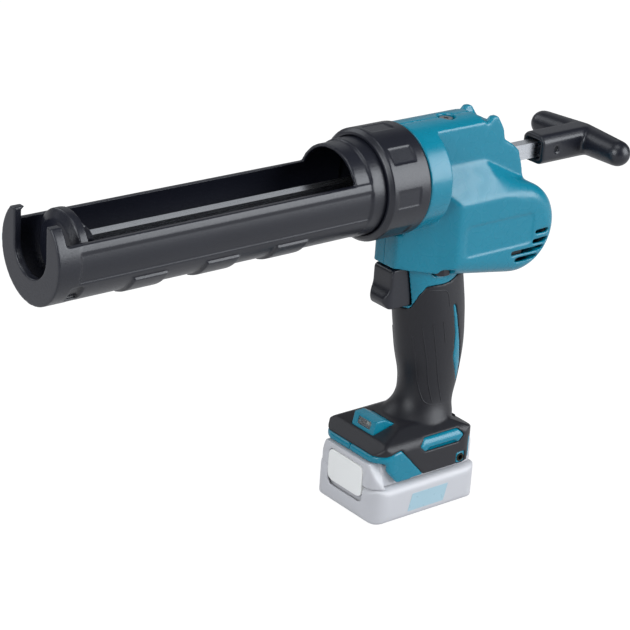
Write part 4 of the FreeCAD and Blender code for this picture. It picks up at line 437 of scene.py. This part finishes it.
def mesh_from(work: bmesh.types.BMesh, name: str) -> bpy.types.Mesh:
    """Turn finished mesh work into a mesh.

    Args:
        work: the finished work, which is freed.
        name: name of the mesh.

    Returns:
        The new mesh.
    """
    mesh = bpy.data.meshes.new(name)
    work.to_mesh(mesh)
    work.free()
    return mesh


def linked(name: str, mesh: bpy.types.Mesh) -> bpy.types.Object:
    """Put a mesh in the scene.

    Args:
        name: name of the new object.
        mesh: its mesh.

    Returns:
        The new object.
    """
    piece = bpy.data.objects.new(name, mesh)
    bpy.context.scene.collection.objects.link(piece)
    return piece


def shade(mesh: bpy.types.Mesh, sharp_deg: float) -> None:
    """Shade a mesh smooth, apart from edges that bend by more than an angle."""
    mesh.shade_smooth()
    mesh.set_sharp_from_angle(angle=math.radians(sharp_deg))


def settle(piece: bpy.types.Object, sharp_deg: float) -> None:
    """Apply a piece's modifiers and shade it smooth up to an angle.

    Args:
        piece: object with its modifiers.
        sharp_deg: edges that bend by more stay sharp.
    """
    graph = bpy.context.evaluated_depsgraph_get()
    mesh = bpy.data.meshes.new_from_object(piece.evaluated_get(graph))
    piece.modifiers.clear()
    piece.data = mesh
    mesh.name = piece.name
    shade(mesh, sharp_deg)


def node_copy(node: str, twin: str = "") -> bpy.types.Object:
    """Copy a CAD node's mesh into a new object, joined with its other half if it has one.

    Args:
        node: CAD node to copy.
        twin: mirrored half that meets it on the middle plane.

    Returns:
        The copy, with doubled points merged and no faces between the halves.
    """
    work = bmesh.new()
    work.from_mesh(frame["nodes"][node].data)
    if twin:
        work.from_mesh(frame["nodes"][twin].data)
        between_halves = [
            face for face in work.faces if all(abs(corner.co.y) < MERGE_MM * MM for corner in face.verts)]
        bmesh.ops.delete(work, geom=between_halves, context="FACES")
    bmesh.ops.remove_doubles(work, verts=work.verts, dist=MERGE_MM * MM)
    name = f"{node}_moulded"
    return linked(name, mesh_from(work, name))


def keep_half(piece: bpy.types.Object, side: Side) -> None:
    """Cut a piece on the middle plane and keep one half, closed by a face.

    Args:
        piece: object that has both halves.
        side: half to keep.
    """
    work = bmesh.new()
    work.from_mesh(piece.data)
    cut = bmesh.ops.bisect_plane(work, geom=[*work.verts, *work.edges, *work.faces], plane_co=(0, 0, 0),
                                 plane_no=(0, side.value, 0), clear_inner=True)
    rim = [item for item in cut["geom_cut"] if isinstance(item, bmesh.types.BMEdge)]
    bmesh.ops.triangle_fill(work, edges=rim, use_beauty=True)
    bmesh.ops.recalc_face_normals(work, faces=work.faces)
    work.to_mesh(piece.data)
    work.free()


def nearest_of(points: list[Vector]) -> KDTree:
    """Put points in a tree that finds the nearest one.

    Args:
        points: the points.

    Returns:
        The balanced tree.
    """
    tree = KDTree(len(points))
    for index, point in enumerate(points):
        tree.insert(point, index)
    tree.balance()
    return tree


def skin_of(piece: bpy.types.Object) -> BVHTree:
    """Give a tree of a piece's faces that rays can hit."""
    return BVHTree.FromObject(piece, bpy.context.evaluated_depsgraph_get())


def on_side(skin: BVHTree, place_mm: tuple[float, float], side: Side, lift_mm: float) -> Vector | None:
    """Find the surface at a place on one side of a piece.

    Args:
        skin: tree of the piece's faces.
        place_mm: X and Z of the place.
        side: side that the place is seen from.
        lift_mm: how far the point lies outside the surface, or under it where negative.

    Returns:
        The point, or nothing where the piece has no surface.
    """
    outwards = Vector((0, side.value, 0))
    start = Vector((place_mm[0], side.value * RAY_START_MM, place_mm[1])) * MM
    hit = skin.ray_cast(start, -outwards)[0]
    return hit + outwards * lift_mm * MM if hit else None


def dress(piece: bpy.types.Object, finish: Finish, node: str) -> bpy.types.Object:
    """Give a new piece its finish, and let it move with a CAD node.

    Args:
        piece: the new object.
        finish: finish that covers it.
        node: CAD node whose body it shares.

    Returns:
        The same object.
    """
    piece.data.materials.clear()
    piece.data.materials.append(finish.material())
    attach(piece, frame["nodes"][node]["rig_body"])
    LOG.info("%s: %s, %d faces", piece.name, finish.name, len(piece.data.polygons))
    return piece


@dataclass(frozen=True)
class Softness:
    """How finely a moulding is remeshed, and how many passes smooth its edges."""

    voxel_mm: float = 0.7
    passes: int = 10


@dataclass
class Moulding:
    """A moulded piece: a CAD node with the soft edges that a mould gives it.

    With a twin, both halves are softened as one, so that no edge is rounded where they meet.
    One half is then kept.
    """

    node: str
    finish: Finish
    softness: Softness = Softness()
    twin: str = ""
    half: Side = Side.LEFT
    crease_passes: int = 0
    crease_reach_mm: float = 7.0
    sharp_guard_mm: float = 3.0
    # Bends from the first angle up are creases between facets, and above the second they are sharp edges
    shallow_deg: tuple[float, float] = (16.0, 62.0)

    def build(self) -> bpy.types.Object:
        """Make the softened piece and let it stand for its CAD node.

        Returns:
            The dressed piece.
        """
        piece = node_copy(self.node, self.twin)
        creases, edges = self.bends(piece) if self.crease_passes else ([], [])
        self.blend(piece)
        if creases:
            self.round_creases(piece, nearest_of(creases), nearest_of(edges))
        if self.twin:
            keep_half(piece, self.half)
        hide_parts(self.node)
        return dress(piece, self.finish, self.node)

    def bends(self, piece: bpy.types.Object) -> tuple[list[Vector], list[Vector]]:
        """Gather points a millimetre apart along the bends of a piece.

        Args:
            piece: object with the CAD node's facets.

        Returns:
            Points on the shallow creases, and points on the sharp edges.
        """
        creases, edges = [], []
        work = bmesh.new()
        work.from_mesh(piece.data)
        for edge in work.edges:
            bend = math.degrees(edge.calc_face_angle(0.0))
            if bend < self.shallow_deg[0]:
                continue
            first, last = (corner.co for corner in edge.verts)
            steps = max(1, round((last - first).length / MM))
            row = edges if bend > self.shallow_deg[1] else creases
            row.extend(first.lerp(last, step / steps) for step in range(steps + 1))
        work.free()
        return creases, edges

    def blend(self, piece: bpy.types.Object) -> None:
        """Remesh a piece finely and smooth it.

        Args:
            piece: copy of the CAD node.
        """
        remesh = piece.modifiers.new("fine", "REMESH")
        remesh.mode = "VOXEL"
        remesh.voxel_size = self.softness.voxel_mm * MM * 1.0
        smooth = piece.modifiers.new("smooth", "SMOOTH")
        smooth.factor = SMOOTH_FACTOR
        smooth.iterations = self.softness.passes
        settle(piece, MOULD_SHARP_DEG)

    def round_creases(self, piece: bpy.types.Object, creases: KDTree, edges: KDTree) -> None:
        """Smooth a piece further along its shallow creases, and leave its sharp edges.

        Args:
            piece: remeshed object.
            creases: points on the shallow creases.
            edges: points on the sharp edges.
        """
        group = piece.vertex_groups.new(name="creases")
        for vertex in piece.data.vertices:
            _, _, crease_gap = creases.find(vertex.co)
            close = 1 - crease_gap / (self.crease_reach_mm * MM)
            if close > 0:
                _, _, edge_gap = edges.find(vertex.co)
                free = edge_gap / (self.sharp_guard_mm * MM)
                group.add([vertex.index], min(close, free, 1.0), "REPLACE")
        smooth = piece.modifiers.new("creases", "SMOOTH")
        smooth.vertex_group = group.name
        smooth.factor = SMOOTH_FACTOR
        smooth.iterations = self.crease_passes
        settle(piece, MOULD_SHARP_DEG)
        piece.vertex_groups.clear()


@dataclass
class InnerWorks:
    """CAD nodes that keep their shape: gears, motor, electrics, screws, rod and lens."""

    finishes: dict[str, Finish]
    special: dict[str, Finish]

    def build(self) -> None:
        """Give each CAD node the finish of its material slot, or its own."""
        for row in frame["record"]["subparts"]:
            mesh = frame["nodes"][row["node"]].data
            mesh.materials.clear()
            finish = self.special.get(row["node"], self.finishes[row["material_slot"]])
            mesh.materials.append(finish.material())
            LOG.info("%s: %s", row["node"], finish.name)


@dataclass
class PressedSpring:
    """Coil spring under a piece that is pressed, copied from its CAD node and shaded smooth."""

    node: str
    joint: str
    axis: tuple[float, float, float]
    travel_mm: float
    rests_high: bool

    def build(self) -> None:
        """Copy the spring, shade it smooth and give it its finish."""
        piece = node_copy(self.node)
        settle(piece, THIN_SHARP_DEG)
        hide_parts(self.node)
        dress(piece, SPRING_STEEL, self.node)
        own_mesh(piece)


@dataclass
class Barrel:
    """Black mouldings along the barrel's axis: cartridge holder, lock ring, piston and pull handle."""

    holder: Softness = Softness(voxel_mm=0.6, passes=6)
    ring: Softness = Softness(voxel_mm=0.5, passes=3)
    piston: Softness = Softness(voxel_mm=0.5, passes=4)
    handle: Softness = Softness(voxel_mm=0.8, passes=16)

    def build(self) -> None:
        """Soften the black mouldings."""
        Moulding("cartridge_holder", NYLON, self.holder).build()
        Moulding("lock_ring", NYLON, self.ring).build()
        Moulding("piston", NYLON, self.piston).build()
        Moulding("pull_handle", NYLON, self.handle).build()


@dataclass
class Housing:
    """Teal shells with soft facets, and the trigger and lock-off bar in them."""

    crease_passes: int = 60
    trigger: Softness = Softness(voxel_mm=0.5, passes=34)
    lock_off: Softness = Softness(voxel_mm=0.4, passes=5)
    # A little more than the trigger's travel
    spring_travel_mm: float = 6.4

    def build(self) -> None:
        """Soften both shells and the finger controls."""
        for side in Side:
            Moulding(f"{side.word}_housing", TEAL_ABS, crease_passes=self.crease_passes).build()
        Moulding("trigger", NYLON, self.trigger).build()
        Moulding("lock_off_button", NYLON, self.lock_off).build()
        PressedSpring("trigger_spring", "trigger_pull", ALONG_X, self.spring_travel_mm,
                      rests_high=True).build()


@dataclass
class Grip:
    """Elastomer over the handle and foot, with its thin raised lines."""

    line_mm: float = 0.45
    sink_mm: float = 0.2
    step_mm: float = 3.0
    line_rounds: int = 2
    curve_order: int = 4
    # Lines on each side of the handle, as places (x, z) in millimetres
    lines: tuple[tuple[tuple[float, float], ...], ...] = (
        ((-3.2, 145.1), (10.5, 144.0), (13.3, 141.0), (14.9, 132.3)),
        ((-4.7, 113.4), (0.2, 91.4), (4.2, 73.3), (5.9, 67.3), (8.8, 65.6), (21.0, 64.2)),
        ((-1.1, 119.2), (5.4, 91.9), (11.1, 66.9)),
        ((4.7, 121.2), (10.5, 95.1), (17.9, 66.4)),
        ((11.3, 122.5), (14.6, 107.9)),
    )

    def route(self, skin: BVHTree, line: tuple[tuple[float, float], ...], side: Side) -> list[Vector]:
        """Lay a line on the grip's surface in small steps.

        Args:
            skin: tree of the grip's faces.
            line: places that the line passes.
            side: side of the handle.

        Returns:
            Points a little under the surface.
        """
        places = []
        for (x0, z0), (x1, z1) in zip(line, line[1:]):
            steps = max(1, round(math.hypot(x1 - x0, z1 - z0) / self.step_mm))
            shares = [step / steps for step in range(steps)]
            places.extend((between((x0, x1), share), between((z0, z1), share)) for share in shares)
        places.append(line[-1])
        points = [on_side(skin, place, side, -self.sink_mm) for place in places]
        return [point for point in points if point]

    def raised_lines(self, grip: bpy.types.Object, node: str, side: Side) -> None:
        """Add the thin raised lines on one side of the handle.

        Args:
            grip: softened grip.
            node: CAD node of the grip.
            side: side of the handle.
        """
        name = f"{node}_lines"
        skin = skin_of(grip)
        curve = bpy.data.curves.new(name, "CURVE")
        curve.dimensions = "3D"
        curve.bevel_depth = self.line_mm * MM
        curve.bevel_resolution = self.line_rounds
        curve.use_fill_caps = True
        for line in self.lines:
            points = self.route(skin, line, side)
            spline = curve.splines.new("NURBS")
            spline.points.add(len(points) - 1)
            for control, point in zip(spline.points, points):
                control.co = (*point, 1.0)
            spline.order_u = self.curve_order
            spline.use_endpoint_u = True
        bead = bpy.data.objects.new(name, curve)
        bpy.context.scene.collection.objects.link(bead)
        mesh = bpy.data.meshes.new_from_object(bead.evaluated_get(bpy.context.evaluated_depsgraph_get()))
        bpy.data.objects.remove(bead)
        mesh.shade_smooth()
        dress(linked(name, mesh), ELASTOMER, node)

    def build(self) -> None:
        """Soften both grips and draw their lines."""
        for side in Side:
            node = f"{side.word}_grip"
            grip = Moulding(node, ELASTOMER, twin=f"{side.other.word}_grip", half=side).build()
            self.raised_lines(grip, node, side)


@dataclass
class Lamp:
    """Teal bezel on the foot, round the lens, and the diode behind it."""

    bezel: Softness = Softness(voxel_mm=0.4, passes=8)
    dome_radius_mm: float = 2.3
    dome_height_mm: float = 2.2
    dome_z_mm: float = 55.9
    dome_turns: int = 32

    def diode(self) -> None:
        """Set a near-white dome on the board's diode, turned from half of its section, as a painted glint
        in the lens.
        """
        low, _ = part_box("lamp_board")
        base = low[0] / MM
        steps = self.dome_turns // 4
        bends = [math.pi / 2 * step / steps for step in range(steps + 1)]
        section = [(base, 0.0)]
        section += [(base - self.dome_height_mm * math.sin(bend), self.dome_radius_mm * math.cos(bend))
                    for bend in bends]
        work = bmesh.new()
        points = [work.verts.new(Vector((x, 0, self.dome_z_mm + rise)) * MM) for x, rise in section]
        lines = [work.edges.new(pair) for pair in zip(points, points[1:])]
        bmesh.ops.spin(work, geom=[*points, *lines], cent=Vector((base, 0, self.dome_z_mm)) * MM,
                       axis=ALONG_X, angle=2 * math.pi, steps=self.dome_turns)
        bmesh.ops.remove_doubles(work, verts=work.verts, dist=MERGE_MM * MM)
        bmesh.ops.recalc_face_normals(work, faces=work.faces)
        mesh = mesh_from(work, "lamp_diode_dome")
        shade(mesh, THIN_SHARP_DEG)
        # The dome's near-white finish is a painted glint seen through the lens
        dress(linked("lamp_diode_dome", mesh), DIODE_DOME, "lamp_board")

    def build(self) -> None:
        """Soften the bezel and set the diode's dome."""
        Moulding("lamp_bezel", TEAL_ABS, self.bezel).build()
        self.diode()


@dataclass
class Battery:
    """Pale battery with its white button and a plain film patch on each side."""

    case: Softness = Softness(passes=16)
    cover: Softness = Softness(passes=12)
    button: Softness = Softness(voxel_mm=0.5, passes=6)
    spring_travel_mm: float = 3.0
    film_x_mm: tuple[float, float] = (-16.0, 13.0)
    film_z_mm: tuple[float, float] = (5.0, 16.5)
    # How far the film's top edge stands behind its bottom edge
    film_lean_mm: float = 3.0
    film_mm: float = 0.12
    # The film's rim is folded in by this much, into the case's wall
    film_fold_mm: float = 0.24
    film_steps: tuple[int, int] = (24, 10)
    recess_x_mm: float = -39.4
    recess_half_mm: float = 19.0
    recess_z_mm: tuple[float, float] = (2.2, 22.8)
    recess_round_mm: float = 3.0
    recess_wall_mm: float = 0.8
    recess_corner_steps: int = 6

    def recess(self) -> None:
        """Close the case behind the button with a thin wall that has round corners."""
        low, high = self.recess_z_mm
        turn = self.recess_round_mm
        half = self.recess_half_mm - turn
        corners = ((half, high - turn), (-half, high - turn), (-half, low + turn), (half, low + turn))
        work = bmesh.new()
        rim = []
        for quarter, (y, z) in enumerate(corners):
            for step in range(self.recess_corner_steps + 1):
                angle = math.pi / 2 * (quarter + step / self.recess_corner_steps)
                place = (self.recess_x_mm, y + turn * math.cos(angle), z + turn * math.sin(angle))
                rim.append(work.verts.new(Vector(place) * MM))
        front = work.faces.new(rim)
        back = bmesh.ops.extrude_face_region(work, geom=[front])["geom"]
        bmesh.ops.translate(work, vec=(self.recess_wall_mm * MM, 0, 0), verts=points_of(back))
        bmesh.ops.recalc_face_normals(work, faces=work.faces)
        mesh = mesh_from(work, "battery_button_recess")
        dress(linked("battery_button_recess", mesh), GREY_BLEND, "battery_case")

    def film(self, case: bpy.types.Object, side: Side) -> None:
        """Lay a plain film patch on one side of the case.

        Args:
            case: softened battery case.
            side: side of the case.
        """
        skin = skin_of(case)
        across, up = self.film_steps
        work = bmesh.new()
        rows = []
        for row in range(up + 1):
            rise = row / up
            z = between(self.film_z_mm, rise)
            lean = rise * self.film_lean_mm
            columns = [between(self.film_x_mm, column / across) + lean for column in range(across + 1)]
            rows.append([work.verts.new(on_side(skin, (x, z), side, self.film_mm)) for x in columns])
        for low, high in zip(rows, rows[1:]):
            for corners in zip(low, low[1:], high[1:], high):
                work.faces.new(corners if side is Side.LEFT else corners[::-1])
        rim = [edge for edge in work.edges if edge.is_boundary]
        folded = bmesh.ops.extrude_edge_only(work, edges=rim)["geom"]
        bmesh.ops.translate(work, vec=(0, -side.value * self.film_fold_mm * MM, 0), verts=points_of(folded))
        name = f"battery_film_{side.word}"
        mesh = mesh_from(work, name)
        shade(mesh, THIN_SHARP_DEG)
        dress(linked(name, mesh), PALE_FILM, "battery_case")

    def build(self) -> None:
        """Soften the battery's mouldings, and add the wall behind its button and its film patches."""
        case = Moulding("battery_case", GREY_BLEND, self.case).build()
        Moulding("battery_cover", GREY_BLEND, self.cover).build()
        Moulding("battery_button", WHITE_ACETAL, self.button).build()
        PressedSpring("button_spring", "release_press", ALONG_Z, self.spring_travel_mm,
                      rests_high=False).build()
        self.recess()
        for side in Side:
            self.film(case, side)


@dataclass(frozen=True)
class Softbox:
    """A square lamp that faces the tool."""

    name: str
    place_m: tuple[float, float, float]
    size_m: float
    watts: float
    colour: str = "#f6faff"
    aim_m: tuple[float, float, float] = (-0.05, 0.0, 0.16)

    def hang(self) -> None:
        """Put the lamp in the scene."""
        data = bpy.data.lights.new(self.name, "AREA")
        data.size = self.size_m
        data.energy = self.watts
        data.color = linear(self.colour)[:3]
        box = bpy.data.objects.new(self.name, data)
        box.location = self.place_m
        sight = Vector(self.aim_m) - Vector(self.place_m)
        box.rotation_euler = sight.to_track_quat("-Z", "Y").to_euler()
        bpy.context.scene.collection.objects.link(box)


@dataclass
class Studio:
    """Pale floor, soft lamps and the photograph's camera."""

    place_mm: tuple[float, float, float] = (-851.4, -940.5, 656.1)
    yaw_deg: float = 50.46
    pitch_deg: float = -22.99
    roll_deg: float = 3.78
    focal_px: float = 2241.0
    image_px: float = 630.0
    sensor_mm: float = 36.0
    sight_m: float = 100.0
    floor_half_m: float = 9.0
    # The floor's paper as the camera sees it, and as it lights the tool from below
    paper_seen: str = "#f4f4f4"
    paper_bounce: str = "#b6b6b9"
    # The floor's white glow, and its share where it is seen straight and in a reflection
    white: str = "#ffffff"
    glow: float = 1.12
    glow_seen: float = 0.85
    glow_mirrored: float = 0.4
    # Strength of the white air round the floor, as it lights the tool and as it is seen
    air_light: float = 0.1
    air_seen: float = 1.0
    softboxes: tuple[Softbox, ...] = (
        Softbox("softbox_top", (-0.3, -0.2, 1.8), size_m=1.0, watts=7.0),
        Softbox("softbox_left", (-1.8, -0.4, 1.0), size_m=1.2, watts=26.0),
        Softbox("softbox_right", (1.2, -1.5, 0.9), size_m=1.6, watts=46.0),
        Softbox("softbox_back", (-0.7, 1.7, 1.3), size_m=1.2, watts=9.0),
        Softbox("softbox_back_right", (1.1, 1.7, 1.1), size_m=1.5, watts=2.5),
    )

    def camera(self) -> None:
        """Set the camera where the photograph was taken from."""
        yaw, pitch, roll = (math.radians(turn) for turn in (self.yaw_deg, self.pitch_deg, self.roll_deg))
        ahead = Vector((math.cos(yaw) * math.cos(pitch), math.sin(yaw) * math.cos(pitch), math.sin(pitch)))
        level = Vector((math.sin(yaw), -math.cos(yaw), 0.0))
        upright = level.cross(ahead)
        right = level * math.cos(roll) + upright * math.sin(roll)
        up = upright * math.cos(roll) - level * math.sin(roll)
        data = bpy.data.cameras.new("photo_camera")
        data.sensor_width = self.sensor_mm
        data.lens = self.focal_px / self.image_px * self.sensor_mm
        data.clip_end = self.sight_m
        camera = bpy.data.objects.new("photo_camera", data)
        turn = Matrix((right, up, -ahead)).transposed().to_4x4()
        camera.matrix_world = Matrix.Translation(Vector(self.place_mm) * MM) @ turn
        bpy.context.scene.collection.objects.link(camera)
        bpy.context.scene.camera = camera

    def seen(self, tree: bpy.types.NodeTree, path: bpy.types.Node) -> bpy.types.NodeSocket:
        """Tell the rays that are seen, straight or through clear plastic, from those that only light.

        Args:
            tree: node tree of the floor or the air.
            path: its Light Path node.

        Returns:
            Socket that is 1 for rays that are seen, and 0 for the others.
        """
        straight = add_node(tree, "ShaderNodeMath", {"operation": "MAXIMUM"}, {
            0: path.outputs["Is Camera Ray"], 1: path.outputs["Is Transmission Ray"]})
        return straight.outputs[0]

    def paper(self) -> bpy.types.Material:
        """Make the floor's paper, which looks white to the camera and keeps a soft shadow.

        Returns:
            The floor's material.
        """
        made = bpy.data.materials.new("floor_paper_white")
        tree = bare_tree(made)
        path = add_node(tree, "ShaderNodeLightPath")
        seen = self.seen(tree, path)
        direct = add_node(tree, "ShaderNodeMath", {"operation": "MULTIPLY"}, {0: seen, 1: self.glow_seen})
        mirrored = add_node(tree, "ShaderNodeMath", {"operation": "MULTIPLY"}, {
            0: path.outputs["Is Glossy Ray"], 1: self.glow_mirrored})
        share = add_node(tree, "ShaderNodeMath", {"operation": "MAXIMUM"}, {
            0: direct.outputs[0], 1: mirrored.outputs[0]})
        colour = add_node(tree, "ShaderNodeMix", {"data_type": "RGBA"}, {
            "Factor": seen, MIX_FIRST: linear(self.paper_bounce), MIX_SECOND: linear(self.paper_seen)})
        matt = add_node(tree, "ShaderNodeBsdfDiffuse", inputs={"Color": colour.outputs[MIX_RESULT]})
        glow = add_node(tree, "ShaderNodeEmission", inputs={
            "Color": linear(self.white), "Strength": self.glow})
        mix = add_node(tree, "ShaderNodeMixShader", inputs={
            0: share.outputs[0], 1: matt.outputs[0], 2: glow.outputs[0]})
        add_node(tree, "ShaderNodeOutputMaterial", inputs={"Surface": mix.outputs[0]})
        return made

    def floor(self) -> None:
        """Lay the pale floor."""
        work = bmesh.new()
        bmesh.ops.create_grid(work, x_segments=1, y_segments=1, size=self.floor_half_m)
        mesh = mesh_from(work, "studio_floor")
        mesh.materials.append(self.paper())
        linked("studio_floor", mesh)

    def air(self) -> None:
        """Fill the room with faint light that looks white to the camera."""
        world = bpy.data.worlds.new("studio_air")
        tree = bare_tree(world)
        seen = self.seen(tree, add_node(tree, "ShaderNodeLightPath"))
        strength = add_node(tree, "ShaderNodeMath", {"operation": "MULTIPLY_ADD"}, {
            0: seen, 1: self.air_seen - self.air_light, 2: self.air_light})
        sky = add_node(tree, "ShaderNodeBackground", inputs={
            "Color": linear(self.white), "Strength": strength.outputs[0]})
        add_node(tree, "ShaderNodeOutputWorld", inputs={"Surface": sky.outputs[0]})
        bpy.context.scene.world = world

    def build(self) -> None:
        """Make the floor, the lamps, the air and the camera."""
        self.floor()
        for softbox in self.softboxes:
            softbox.hang()
        self.air()
        self.camera()
        bpy.context.scene.view_settings.view_transform = "Standard"


def main() -> None:
    """Build the studio and dress the tool."""
    logging.basicConfig(level=logging.INFO)
    Studio().build()
    InnerWorks(SLOT_FINISHES, NODE_FINISHES).build()
    Barrel().build()
    Housing().build()
    Grip().build()
    Lamp().build()
    Battery().build()


if __name__ == "__main__":
    main()
